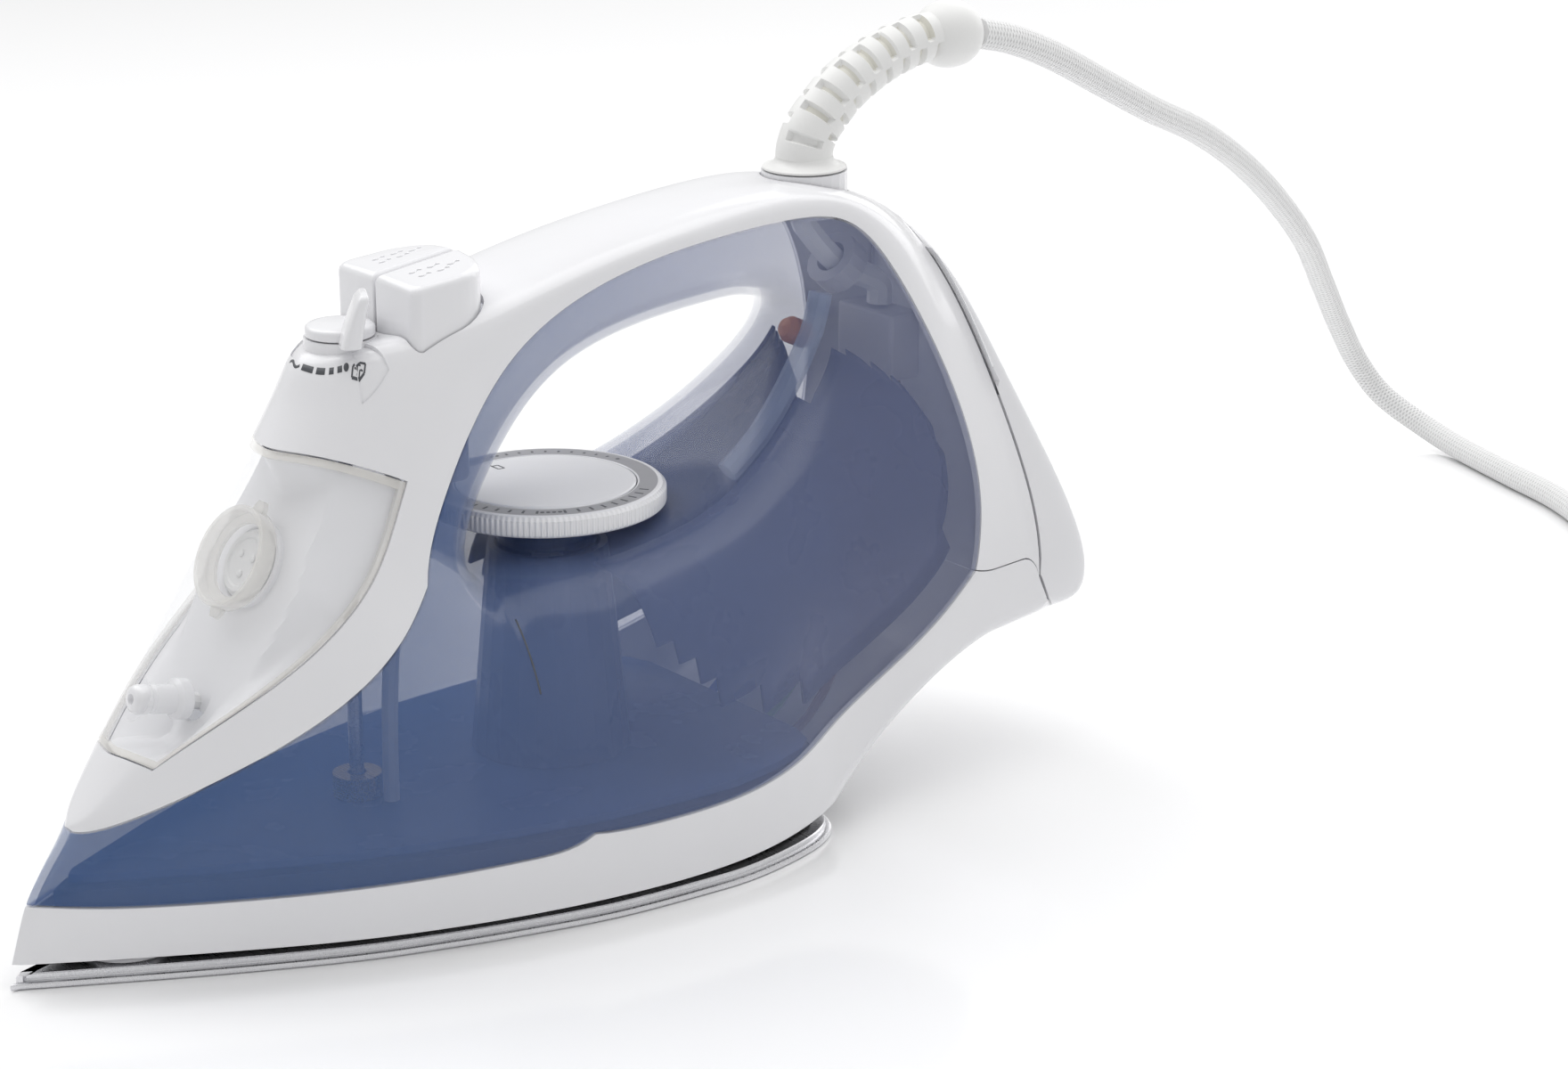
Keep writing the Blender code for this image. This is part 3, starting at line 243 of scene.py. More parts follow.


# Materials: every one is a Principled shader, most with their own grain, mottle and bump.

class Look:
    """A Principled material and short ways to add nodes to it."""

    def __init__(self, name, colour, roughness, metallic=0.0, alpha=1.0, coat=0.0):
        self.made = bpy.data.materials.new(name)
        self.made.use_nodes = True
        self.tree = self.made.node_tree
        self.shader = self.tree.nodes["Principled BSDF"]
        self.colour, self.roughness = colour, roughness
        self.put(self.shader, "Base Color", (*colour, 1.0))
        self.put(self.shader, "Roughness", roughness)
        self.put(self.shader, "Metallic", metallic)
        self.put(self.shader, "Alpha", alpha)
        self.put(self.shader, "Coat Weight", coat)
        self.put(self.shader, "Coat Roughness", 0.06)
        coordinates = self.tree.nodes.new("ShaderNodeTexCoord")
        self.place = coordinates.outputs["Object"]
        self.uv = coordinates.outputs["UV"]

    def put(self, node, socket, value):
        node.inputs[socket].default_value = value

    def add(self, kind, **inputs):
        node = self.tree.nodes.new(kind)
        for socket, value in inputs.items():
            socket = int(socket[1:]) if socket[0] == "i" and socket[1:].isdigit() else socket
            self.feed(node.inputs[socket], value)
        return node

    def feed(self, socket, value):
        if isinstance(value, bpy.types.NodeSocket):
            self.tree.links.new(value, socket)
        else:
            socket.default_value = value

    def maths(self, operation, *values):
        node = self.tree.nodes.new("ShaderNodeMath")
        node.operation = operation
        for socket, value in zip(node.inputs, values):
            self.feed(socket, value)
        return node.outputs[0]

    def noise(self, scale, detail=3.0, vector=None):
        node = self.add("ShaderNodeTexNoise", Vector=vector or self.place, Scale=scale,
                        Detail=detail)
        return node.outputs["Fac"]

    def stretch(self, x, y, z, turn=0.0):
        """The object's coordinates scaled on each axis and turned about Z."""
        node = self.add("ShaderNodeMapping", Vector=self.place, Scale=(x, y, z),
                        Rotation=(0, 0, math.radians(turn)))
        return node.outputs[0]

    def axis(self, name, vector=None):
        node = self.add("ShaderNodeSeparateXYZ", Vector=vector or self.place)
        return node.outputs[name]

    def ramp(self, value, low, high, to_low=0.0, to_high=1.0, smooth=False):
        node = self.add("ShaderNodeMapRange", Value=value)
        if smooth:
            node.interpolation_type = "SMOOTHSTEP"
        for socket, number in zip(("From Min", "From Max", "To Min", "To Max"),
                                  (low, high, to_low, to_high)):
            self.put(node, socket, number)
        return node.outputs[0]

    def blend(self, share, first, second):
        """Mixes two colours, each a tuple or a socket, by a share from 0 to 1."""
        node = self.tree.nodes.new("ShaderNodeMix")
        node.data_type = "RGBA"
        self.feed(node.inputs["Factor"], share)
        for socket, value in ((6, first), (7, second)):
            value = (*value, 1.0) if isinstance(value, tuple) else value
            self.feed(node.inputs[socket], value)
        return node.outputs[2]

    def paint(self, value):
        self.feed(self.shader.inputs["Base Color"], value)
        return self

    def mottle(self, amount, scale=35.0):
        """Slight cloudiness in the colour."""
        dark = tuple(c * (1 - amount) for c in self.colour)
        light = tuple(min(1, c * (1 + amount)) for c in self.colour)
        return self.paint(self.blend(self.noise(scale), dark, light))

    def vary(self, amount, scale=60.0):
        """Patches of duller and shinier surface."""
        low, high = self.roughness * (1 - amount), self.roughness * (1 + amount)
        value = self.ramp(self.noise(scale, 5.0), 0.3, 0.7, low, high)
        self.feed(self.shader.inputs["Roughness"], value)
        return self

    def bump(self, height, strength, distance):
        node = self.add("ShaderNodeBump", Height=height, Strength=strength, Distance=distance)
        self.feed(self.shader.inputs["Normal"], node.outputs[0])
        return self

    def moulded(self, mottle=0.02, vary=0.25, scale=2600.0, strength=0.06):
        """The skin of moulded plastic: faint orange peel, cloudiness and uneven gloss."""
        self.mottle(mottle).vary(vary)
        peel = self.maths("ADD", self.noise(scale, 2.0), self.noise(scale / 12, 2.0))
        return self.bump(peel, strength, 0.0002)


def braided(name, colour, strands=9, pitch=0.0062):
    """A textile braid: two sets of strands that cross, from the tube's own UV in metres."""
    look = Look(name, colour, 0.82)
    along, around = look.axis("X", look.uv), look.axis("Y", look.uv)
    turns = look.maths("MULTIPLY", around, float(strands))
    steps = look.maths("MULTIPLY", along, strands / pitch / 2)
    waves = []
    for operation in ("ADD", "SUBTRACT"):
        phase = look.maths("MULTIPLY", look.maths(operation, turns, steps), math.pi)
        waves.append(look.maths("ABSOLUTE", look.maths("SINE", phase)))
    height = look.maths("MAXIMUM", *waves)
    fuzz = look.maths("MULTIPLY", look.noise(3000.0, 4.0), 0.25)
    # The gaps between the strands are painted darker: painted shade in the braid's grooves.
    dark = tuple(c * 0.80 for c in colour)
    look.paint(look.blend(look.ramp(height, 0.55, 1.0), dark, colour))
    look.put(look.shader, "Sheen Weight", 0.3)
    return look.bump(look.maths("ADD", height, fuzz), 0.7, 0.0006)


def brushed(name, colour, roughness, stretch=(30, 2500, 2500), turn=0.0):
    """Metal with fine lines along one way."""
    look = Look(name, colour, roughness, metallic=1.0)
    lines = look.noise(1.0, 4.0, look.stretch(*stretch, turn))
    look.mottle(0.05, 60.0)
    value = look.ramp(lines, 0.3, 0.7, roughness * 0.75, roughness * 1.35)
    look.feed(look.shader.inputs["Roughness"], value)
    return look.bump(lines, 0.12, 0.0002)


# Shapes

def at(x, y, z):
    """The world point of a place in millimetres from the soleplate's tip."""
    return Vector((x * MM, TIP_Y + y * MM, z * MM))


def finished(name, shape, look, body, angle=35, replaces=()):
    """A mesh object from a bmesh, with its material, smooth shading and body."""
    mesh = bpy.data.meshes.new(name)
    shape.to_mesh(mesh)
    shape.free()
    obj = bpy.data.objects.new(name, mesh)
    bpy.context.scene.collection.objects.link(obj)
    for one in look if isinstance(look, (list, tuple)) else [look]:
        mesh.materials.append(one.made)
    mesh.shade_smooth()
    mesh.set_sharp_from_angle(angle=math.radians(angle))
    if body:
        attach(obj, body)
    if replaces:
        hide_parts(*replaces)
    return obj


def loft(rings, closed=False, caps=True):
    """A bmesh skin over rings of points of one length each."""
    shape = bmesh.new()
    rows = [[shape.verts.new(p) for p in ring] for ring in rings]
    count = len(rows[0])
    pairs = list(zip(rows, rows[1:]))
    if closed:
        pairs.append((rows[-1], rows[0]))
    for first, second in pairs:
        for i in range(count):
            j = (i + 1) % count
            shape.faces.new((first[i], first[j], second[j], second[i]))
    if caps and not closed:
        shape.faces.new(list(reversed(rows[0])))
        shape.faces.new(rows[-1])
    bmesh.ops.remove_doubles(shape, verts=shape.verts, dist=MERGE / 50)
    bmesh.ops.recalc_face_normals(shape, faces=shape.faces)
    return shape


def lathe(profile, foot, axis, steps=64, closed=False, shape_radius=None):
    """A bmesh from a profile of (radius, height), turned on an axis."""
    turn = Vector((0, 0, 1)).rotation_difference(Vector(axis).normalized()).to_matrix()
    rings = []
    for radius, height in profile:
        ring = []
        for i in range(steps):
            angle = math.tau * i / steps
            r = shape_radius(radius, height, i) if shape_radius else radius
            r = max(r, AXIS_HOLE)
            spot = Vector((r * math.cos(angle), r * math.sin(angle), height))
            ring.append(foot + turn @ spot * MM)
        rings.append(ring)
    return loft(rings, closed=closed)


def frames(points):
    """A sideways and an upward direction at every point of a line, without twist."""
    found = []
    up = Vector((0, 0, 1))
    for i, point in enumerate(points):
        before, after = points[max(i - 1, 0)], points[min(i + 1, len(points) - 1)]
        along = (after - before).normalized()
        if i == 0 and abs(along.z) > 0.9:
            up = Vector((0, -1, 0))
        up = (up - along * up.dot(along)).normalized()
        found.append((along.cross(up), up))
    return found


def swept(points, radius, sides=16, form=None):
    """A round tube along points, with UVs: along it in metres, and round it from 0 to 1."""
    shape = bmesh.new()
    layer = shape.loops.layers.uv.new("UVMap")
    rows, lengths, total = [], [], 0.0
    for i, (point, (side, up)) in enumerate(zip(points, frames(points))):
        if i:
            total += (point - points[i - 1]).length
        row = []
        for j in range(sides):
            angle = math.tau * j / sides
            r = form(total / MM, angle) if form else radius
            out = side * math.sin(angle) + up * math.cos(angle)
            row.append(shape.verts.new(point + out * r * MM))
        rows.append(row)
        lengths.append(total)
    for i in range(len(rows) - 1):
        for j in range(sides):
            k = (j + 1) % sides
            face = shape.faces.new((rows[i][j], rows[i][k], rows[i + 1][k], rows[i + 1][j]))
            ends = ((i, j), (i, j + 1), (i + 1, j + 1), (i + 1, j))
            for loop, (a, b) in zip(face.loops, ends):
                loop[layer].uv = (lengths[a], b / sides)
    shape.faces.new(list(reversed(rows[0])))
    shape.faces.new(rows[-1])
    bmesh.ops.recalc_face_normals(shape, faces=shape.faces)
    return shape, total


def evaluated_mesh(obj):
    """The object's mesh with its modifiers, with seams welded."""
    graph = bpy.context.evaluated_depsgraph_get()
    mesh = bpy.data.meshes.new_from_object(obj.evaluated_get(graph))
    shape = bmesh.new()
    shape.from_mesh(mesh)
    bmesh.ops.remove_doubles(shape, verts=shape.verts, dist=MERGE / 20)
    shape.to_mesh(mesh)
    shape.free()
    return mesh


def skin_of(obj):
    """A tree of the object's surface, for laying marks on it."""
    graph = bpy.context.evaluated_depsgraph_get()
    graph.update()
    return BVHTree.FromObject(obj, graph)


def laid(tree, point, way, lift):
    """The place where a ray from a point meets a surface, lifted off it, or None."""
    hit, normal, _, _ = tree.ray_cast(point, way)
    if hit is None:
        return None
    if normal.dot(way) > 0:
        normal = -normal
    return hit + normal * lift * MM


TOOLS = []  # cutters of the Booleans that settle() has still to apply


def cut(obj, shape, name, operation="DIFFERENCE", solver="EXACT"):
    """Cuts a bmesh from an object, or joins it on."""
    mesh = bpy.data.meshes.new(name)
    bmesh.ops.recalc_face_normals(shape, faces=shape.faces)
    shape.to_mesh(mesh)
    shape.free()
    tool = bpy.data.objects.new(name, mesh)
    bpy.context.scene.collection.objects.link(tool)
    modifier = obj.modifiers.new(name, "BOOLEAN")
    modifier.operation = operation
    modifier.object = tool
    modifier.solver = solver
    TOOLS.append(tool)
    return obj


def settle(obj):
    """Applies an object's modifiers and removes the cutters used."""
    mesh = evaluated_mesh(obj)
    obj.modifiers.clear()
    obj.data = mesh
    for tool in TOOLS:
        bpy.data.objects.remove(tool)
    TOOLS.clear()
    mesh.shade_smooth()
    mesh.set_sharp_from_angle(angle=math.radians(32))
    return obj


def bar(start, end, radius, steps=32):
    """A round bar between two places as a bmesh."""
    start, end = at(*start), at(*end)
    length = (end - start).length / MM
    return lathe(((0, 0), (radius, 0), (radius, length), (0, length)), start, end - start, steps)


def bezier(a, b, c, d, t):
    """The point at t on a cubic Bezier curve."""
    s = 1 - t
    return a * s**3 + b * 3 * s * s * t + c * 3 * s * t * t + d * t**3


def smooth_path(points, per_span):
    """Points along a Catmull-Rom curve through the given ones."""
    ends = [points[0] * 2 - points[1], *points, points[-1] * 2 - points[-2]]
    found = []
    for a, b, c, d in zip(ends, ends[1:], ends[2:], ends[3:]):
        for step in range(per_span):
            t = step / per_span
            found.append((b * 2 + (c - a) * t + (a * 2 - b * 5 + c * 4 - d) * t**2
                          + (b * 3 - a - c * 3 + d) * t**3) / 2)
    found.append(points[-1])
    return found


# The outer form: one cage of quads for the half at +X, whose faces carry the number of the
# piece that they belong to.

TANK, SHIELD, DOOR, BACK, SKIRT = range(5)


def strip(cells, first, second, labels):
    """Adds the quads between two neighbouring columns of points."""
    for i, label in enumerate(labels):
        if label is not None:
            cells.append(((first[i], second[i], second[i + 1], first[i + 1]), label))


def tank_columns():
    """The tank's ribs as columns of points, from the parting line to the finger opening."""
    found = []
    for outer, first, second, (y, z) in TANK_RIBS:
        a, b, c, d = Vector(outer), Vector(first), Vector(second), Vector((0, y, z))
        found.append([bezier(a, b, c, d, t) for t in (0, 0.25, 0.5, 0.75, 1)])
    return found


def shield_columns(starts):
    """The white shell's ribs as columns of points, up to the middle plane."""
    found = []
    for start, (first, second, (y, z), edge) in zip(starts, SHIELD_RIBS):
        a, b, c, d = start, Vector(first), Vector(second), Vector((0, y, z))
        steps = (0, edge, edge + (1 - edge) / 3, edge + (1 - edge) * 2 / 3, 1)
        found.append([bezier(a, b, c, d, t) for t in steps])
    return found


def outer_form():
    """The quads of the half cage, each with its piece's number."""
    cells = []
    tank = tank_columns()
    for first, second in zip(tank, tank[1:] + tank[:1]):
        strip(cells, first, second, [TANK] * 4)

    corner = [tank[i][0] for i in (0, 23, 22, CORNER_RIB)]
    nose = []
    for low, high in NOSE_SIDE:
        low, high = Vector(low), Vector(high)
        bulge = Vector((1.2, 0, 0)) if low.x else Vector((0, -0.5, 0))
        nose.append([low, low.lerp(high, 1 / 3) + bulge, low.lerp(high, 2 / 3) + bulge, high])
    nose.append(corner)
    for first, second in zip(nose, nose[1:]):
        strip(cells, first, second, [TANK] * 3)

    # The white shell starts along the tank's upper parting line.
    edge = [Vector(high) for _, high in NOSE_SIDE[1:]]
    edge += [tank[i][0] for i in range(CORNER_RIB, REAR_RIBS[0], -1)]
    shield = [[nose[0][3]] * 5, *shield_columns(edge)]
    for i, (first, second) in enumerate(zip(shield, shield[1:])):
        door = DOOR_COLUMNS[0] <= i < DOOR_COLUMNS[1]
        strip(cells, first, second, [SHIELD] + [DOOR if door else SHIELD] * 3)

    # From there down the rear a side strip joins the tank's edge to the back cover.
    apex = shield[-1][4]
    backs = [[apex] * 5]
    sides = [shield[-1]]
    for rib, (front, _, _) in zip(REAR_RIBS, BACK_COLUMNS):
        start, front = tank[rib][0], Vector(front)
        sides.append([start.lerp(front, t / 4) for t in range(5)])
    for first, second in zip(sides, sides[1:]):
        strip(cells, first, second, [SHIELD] * 4)
    for front, rim, (y, z) in BACK_COLUMNS:
        front, rim, middle = Vector(front), Vector(rim), Vector((0, y, z))
        backs.append([front, rim, rim.lerp(middle, 0.12), rim.lerp(middle, 0.55), middle])
    ramp_end = [Vector(p) for p in RAMP[-1]]
    backs.append([backs[-1][0], backs[-1][0], *ramp_end])
    for first, second in zip(backs, backs[1:]):
        strip(cells, first, second, [BACK] * 4)

    # The skirt hangs from the tank's lower edge and closes behind the soleplate.
    top = [Vector(low) for low, _ in NOSE_SIDE] + [tank[i][0] for i in range(REAR_RIBS[-1] + 1)]
    edge = [Vector(p) for p in SKIRT_EDGE]
    walls = [[Vector(p) for p in row] for row in RAMP]
    for t in (0.25, 0.5, 0.75):
        edge.insert(-1, edge[13].lerp(edge[-1], t))
        walls.insert(-1, [a.lerp(b, t) for a, b in zip(walls[3], walls[-1])])
    top += sides[-1][1:]
    skirt = [[a, a.lerp(b, 0.5), b] for a, b in zip(top, edge)]
    for first, second in zip(skirt, skirt[1:]):
        strip(cells, second, first, [SKIRT] * 2)
    walls = [[a, *row] for a, row in zip(edge[RAMP_START:], walls)]
    for first, second in zip(walls, walls[1:]):
        strip(cells, second, first, [SKIRT] * 3)
    return cells


def outer_mesh(cells, level):
    """The whole outer form as a mesh: the half cage mirrored and subdivided."""
    shape = bmesh.new()
    spots = {}

    def spot(place):
        key = tuple(round(value, 3) for value in place)
        if key not in spots:
            spots[key] = shape.verts.new(at(*place))
        return spots[key]

    for corners, label in cells:
        loop = []
        for corner in corners:
            if spot(corner) not in loop:
                loop.append(spot(corner))
        if len(loop) > 2:
            shape.faces.new(loop).material_index = label
    crease = shape.edges.layers.float.new("crease_edge")
    for line in shape.edges:
        if all(v.co.x < MERGE and v.co.y < TIP_Y + NOSE_LINE_END * MM for v in line.verts):
            line[crease] = NOSE_CREASE
    mesh = bpy.data.meshes.new("outer_form")
    shape.to_mesh(mesh)
    shape.free()
    obj = bpy.data.objects.new("outer_form", mesh)
    bpy.context.scene.collection.objects.link(obj)
    mirror = obj.modifiers.new("sides", "MIRROR")
    mirror.merge_threshold = MERGE
    smooth = obj.modifiers.new("smooth", "SUBSURF")
    smooth.levels = smooth.render_levels = level
    whole = evaluated_mesh(obj)
    bpy.data.objects.remove(obj)
    return whole


def patch(whole, label):
    """One piece's share of the outer form, facing outwards."""
    shape = bmesh.new()
    shape.from_mesh(whole)
    bmesh.ops.recalc_face_normals(shape, faces=shape.faces)
    outward = sum(f.normal.x * math.copysign(1, f.calc_center_median().x) for f in shape.faces)
    if outward < 0:
        bmesh.ops.reverse_faces(shape, faces=shape.faces)
    others = [f for f in shape.faces if f.material_index != label]
    bmesh.ops.delete(shape, geom=others, context="FACES")
    for face in shape.faces:
        face.material_index = 0
    shape.normal_update()
    return shape


def draw_in(shape, amount):
    """Moves the open edges of a surface inwards along it."""
    moves = []
    for vert in shape.verts:
        if not vert.is_boundary:
            continue
        inner = [e.other_vert(vert).co for e in vert.link_edges if not e.is_boundary]
        inner = inner or [face.calc_center_median() for face in vert.link_faces]
        towards = sum((p - vert.co for p in inner), Vector())
        moves.append((vert, towards.normalized() * amount))
    for vert, move in moves:
        vert.co += move


def walled(obj, wall, edge=0.35):
    """Gives a surface its wall and a small round on both sides of its edges."""
    solid = obj.modifiers.new("wall", "SOLIDIFY")
    solid.thickness = wall * MM
    solid.offset = -1
    rounding = obj.modifiers.new("edges", "BEVEL")
    rounding.width = edge * MM
    rounding.segments = 2
    rounding.limit_method = "ANGLE"
    rounding.angle_limit = math.radians(50)
    return obj


def shell(name, node, whole, label, look, body="iron", wall=SHELL, inset=GAP * 0.6):
    """One walled shell of the outer form, which stands for its CAD node."""
    shape = patch(whole, label)
    draw_in(shape, inset * MM)
    obj = finished(name, shape, look, body, replaces=[node])
    if len(obj.data.materials) > 1:
        rim_faces(obj, 1)
    return walled(obj, wall)


def rim_faces(obj, rings):
    """Gives the faces next to a surface's open edge the second material."""
    shape = bmesh.new()
    shape.from_mesh(obj.data)
    near = {v for v in shape.verts if v.is_boundary}
    for _ in range(rings):
        for face in [f for v in near for f in v.link_faces]:
            face.material_index = 1
        near |= {e.other_vert(v) for v in near for e in v.link_edges}
    shape.to_mesh(obj.data)
    shape.free()


def plane_through(out, a, b, c):
    """The plane through three places, whose normal is on the given side."""
    a, b, c = at(*a), at(*b), at(*c)
    normal = (b - a).cross(c - a).normalized()
    return a, normal if normal.dot(out) > 0 else -normal


def tray(whole, look):
    """The recess behind the filler door, whose floor is cut to a few flat facets."""
    shape = patch(whole, DOOR)
    facets = []
    mouth, axis = at(0, *MOUTH), Vector((0, *MOUTH_AXIS))
    facets.append((mouth - axis * 0.5 * MM, axis))
    for side in (1, -1):
        corner = [(x * side, y, z) for x, y, z in TRAY_SIDE_FACET]
        facets.append(plane_through(Vector((side, -0.2, 0)), *corner))
    facets.append(plane_through(Vector((0, -1, 0)), *TRAY_LOW_FACET))
    depths = {}
    for vert in shape.verts:
        way = -vert.normal
        reach = TRAY_DEPTH[0] * MM
        for point, normal in facets:
            facing = way.dot(normal)
            if facing < -0.05:
                reach = max(reach, (point - vert.co).dot(normal) / facing)
        depths[vert] = min(reach, TRAY_DEPTH[1] * MM)
    # The wall rises steeply to the door's seat along the edge.
    steps = {v: 0 for v in shape.verts if v.is_boundary}
    for ring in range(1, len(TRAY_RISE)):
        near = {e.other_vert(v) for v in steps for e in v.link_edges} - set(steps)
        steps.update({v: ring for v in near})
    for vert, step in steps.items():
        seat = TRAY_DEPTH[0] * MM
        depths[vert] = seat + (depths[vert] - seat) * TRAY_RISE[step]
    draw_in(shape, TRAY_INSET * MM)
    shape.normal_update()
    for vert, depth in depths.items():
        vert.co -= vert.normal * depth
    obj = finished("filler_tray", shape, look, "iron", angle=14, replaces=["filler_tray"])
    solid = obj.modifiers.new("wall", "SOLIDIFY")
    solid.thickness = TRAY_WALL * MM
    solid.offset = -1
    return obj


def outer_shells(looks):
    """The visible shells, finer than their CAD solids, with the same openings."""
    whole = outer_mesh(outer_form(), FINE)
    made = {
        "tank": shell("tank_shell", "water_tank", whole, TANK, looks["tank"],
                      inset=TANK_INSET),
        "handle": shell("white_shell", "handle_shell", whole, SHIELD, looks["white"]),
        "door": shell("clear_door", "filler_door", whole, DOOR, [looks["clear"], looks["rim"]],
                      "door", DOOR_WALL),
        "back": shell("heel_cover", "back_cover", whole, BACK, looks["white"], wall=BACK_WALL,
                      inset=BACK_INSET),
        "skirt": shell("foot_skirt", "lower_skirt", whole, SKIRT, looks["white"]),
        "tray": tray(whole, looks["recess"]),
    }
    bpy.data.meshes.remove(whole)
    x, y = DIAL_CENTRE
    cut(made["tank"], bar((x, y, 70), (x, y, 95), BUSH_HOLE, 48), "bush_hole")
    settle(made["tank"])

    x, y = LEVER_AXIS
    for name, shape in lever_tracks(skin_of(made["handle"])).items():
        cut(made["handle"], shape, name)
    cut(made["handle"], bar((x, y, 130), (x, y, BOSS_TOP), BOSS_RADIUS, 48), "boss", "UNION")
    cut(made["handle"], bar((x, y, 120), (x, y, 145), ROD_WAY), "rod_way")
    cut(made["handle"], button_well(), "well")
    seat = bar((0, GUARD_AXIS_Y, 140), (0, GUARD_AXIS_Y, 175), SEAT_HOLE, 48)
    cut(made["handle"], seat, "seat")
    settle(made["handle"])

    mouth, axis = at(0, *MOUTH), Vector((0, *MOUTH_AXIS))
    neck = lathe(((0, -16), (NECK_HOLE, -16), (NECK_HOLE, 9), (0, 9)), mouth, axis, 48)
    cut(made["tray"], neck, "neck", solver="MANIFOLD")
    back, tip = Vector((0, *NOZZLE_BACK)), Vector((0, *NOZZLE_TIP))
    ends = (back.lerp(tip, -0.3), back.lerp(tip, 1.6))
    for name in ("door", "tray"):
        cut(made[name], bar(*ends, NOZZLE_RADIUS + NOTCH_GAP), "notch", solver="MANIFOLD")
        settle(made[name])
    settle(made["back"])
    settle(made["skirt"])
    return made


def sector(tree, radii, angles, depth, height, steps=(10, 36)):
    """A block over part of a ring round the lever's axis, its foot sunk below the surface."""
    x, y = LEVER_AXIS
    sheets = []
    for lift in (-depth, height):
        sheet = []
        for i in range(steps[0] + 1):
            r = radii[0] + (radii[1] - radii[0]) * i / steps[0]
            row = []
            for j in range(steps[1] + 1):
                angle = math.radians(angles[0] + (angles[1] - angles[0]) * j / steps[1])
                spot = at(x + r * math.sin(angle), y - r * math.cos(angle), PRINT_HEIGHT)
                hit = tree.ray_cast(spot, Vector((0, 0, -1)))[0]
                row.append(hit + Vector((0, 0, lift * MM)))
            sheet.append(row)
        sheets.append(sheet)
    shape = bmesh.new()
    grids = [[[shape.verts.new(p) for p in row] for row in sheet] for sheet in sheets]
    low, high = grids
    rows, columns = len(low), len(low[0])
    for i in range(rows - 1):
        for j in range(columns - 1):
            shape.faces.new((low[i][j], low[i][j + 1], low[i + 1][j + 1], low[i + 1][j]))
            shape.faces.new((high[i][j], high[i + 1][j], high[i + 1][j + 1], high[i][j + 1]))
    for i in range(rows - 1):
        for j in (0, columns - 1):
            shape.faces.new((low[i][j], low[i + 1][j], high[i + 1][j], high[i][j]))
    for j in range(columns - 1):
        for i in (0, rows - 1):
            shape.faces.new((low[i][j], low[i][j + 1], high[i][j + 1], high[i][j]))
    bmesh.ops.recalc_face_normals(shape, faces=shape.faces)
    return shape


def inner_chamber_shade(looks):
    """A very dark sheet for the water chamber's inner wall, seen through the tank's rear half: its
    near-black navy is painted shade inside the tank.
    """
    whole = outer_mesh(outer_form(), 2)
    shape = patch(whole, TANK)
    bpy.data.meshes.remove(whole)
    kept = []
    for face in shape.faces:
        spot = face.calc_center_median()
        y, z = (spot.y - TIP_Y) / MM, spot.z / MM
        parts = zip((y, z), CHAMBER_CENTRE, CHAMBER_REACH)
        reach = math.hypot(*((value - centre) / half for value, centre, half in parts))
        kept.append((face, reach < 1 and abs(spot.x) > CHAMBER_SIDE * MM))
    bmesh.ops.delete(shape, geom=[f for f, keep in kept if not keep], context="FACES")
    for vert in shape.verts:
        vert.co -= vert.normal * CHAMBER_INSET * MM
    obj = finished("inner_chamber_shade", shape, looks["chamber"], "iron")
    solid = obj.modifiers.new("wall", "SOLIDIFY")
    solid.thickness = CHAMBER_WALL * MM
    solid.offset = -1
    return obj


def lever_tracks(tree):
    """The sunk way of the blade's foot, and its wider end on the side of rest."""
    return {
        "track": sector(tree, (LEVER_DISC_RADIUS, 11.6), (-63, 100), 0.7, 5),
        "track_end": sector(tree, (LEVER_DISC_RADIUS, 16.6), (74, 100), 0.9, 5),
    }


def rounded_plan(side, front, rear, near, nose=2.5, tail=11):
    """A button's outline seen from above: square in front, rounded off behind."""
    points = []
    corners = ((near, front, 0.4, 180), (side, front, nose, 270), (side, rear, tail, 0),
               (near, rear, 0.8, 90))
    for x, y, radius, start in corners:
        dx = radius if x == near else -radius
        dy = radius if y == front else -radius
        for i in range(9):
            angle = math.radians(start + 90 * i / 8)
            points.append((x + dx + radius * math.cos(angle), y + dy + radius * math.sin(angle)))
    return points


def button_well():
    """The hole in the handle round both buttons."""
    front, rear = BUTTON_ALONG
    half = rounded_plan(BUTTON_SIDE[1] + 0.5, front - 0.5, rear + 0.7, -0.1, 2.8, 11.3)
    half = [(max(x, 0), y) for x, y in half if x > 0.01]
    loop = half + [(-x, y) for x, y in reversed(half)]
    return loft([[at(x, y, z) for x, y in loop] for z in (120, 170)])


def button_top(x, y):
    """Height of a button's top: it falls forwards and to the side."""
    (near, far), (front, rear) = BUTTON_SIDE, BUTTON_ALONG
    s, t = (x - near) / (far - near), (y - front) / (rear - front)
    return BUTTON_HEIGHT + BUTTON_RISE * t - BUTTON_FALL * s - BUTTON_TWIST * s * t


def buttons(looks):
    """The two thumb buttons with their rounded tops and raised steam marks."""
    (near, far), (front, rear) = BUTTON_SIDE, BUTTON_ALONG
    for name, node, body, side in (
            ("steam_button", "burst_button", "burst_button_body", 1),
            ("mist_button", "spray_button", "spray_button_body", -1)):
        plan = rounded_plan(far, front, rear, near)
        middle = Vector(((near + far) / 2, (front + rear) / 2))
        rings = [[at(x * side, y, BUTTON_FOOT) for x, y in plan]]
        for inset, drop in ((0, 1.9), (0.15, 1.15), (0.55, 0.5), (1.2, 0.1), (2, 0), (5.5, 0)):
            ring = []
            for x, y in plan:
                span = middle - Vector((x, y))
                spot = Vector((x, y)) + span * min(1, inset / 8)
                ring.append(at(spot.x * side, spot.y, button_top(*spot) - drop))
            rings.append(ring)
        obj = finished(name, loft(rings), looks["white"], body, replaces=[node])
        for i, (x, y) in enumerate(STEAM_MARKS):
            steam_mark(f"{name}_mark_{i}", obj, x * side, y, looks["white"], body)


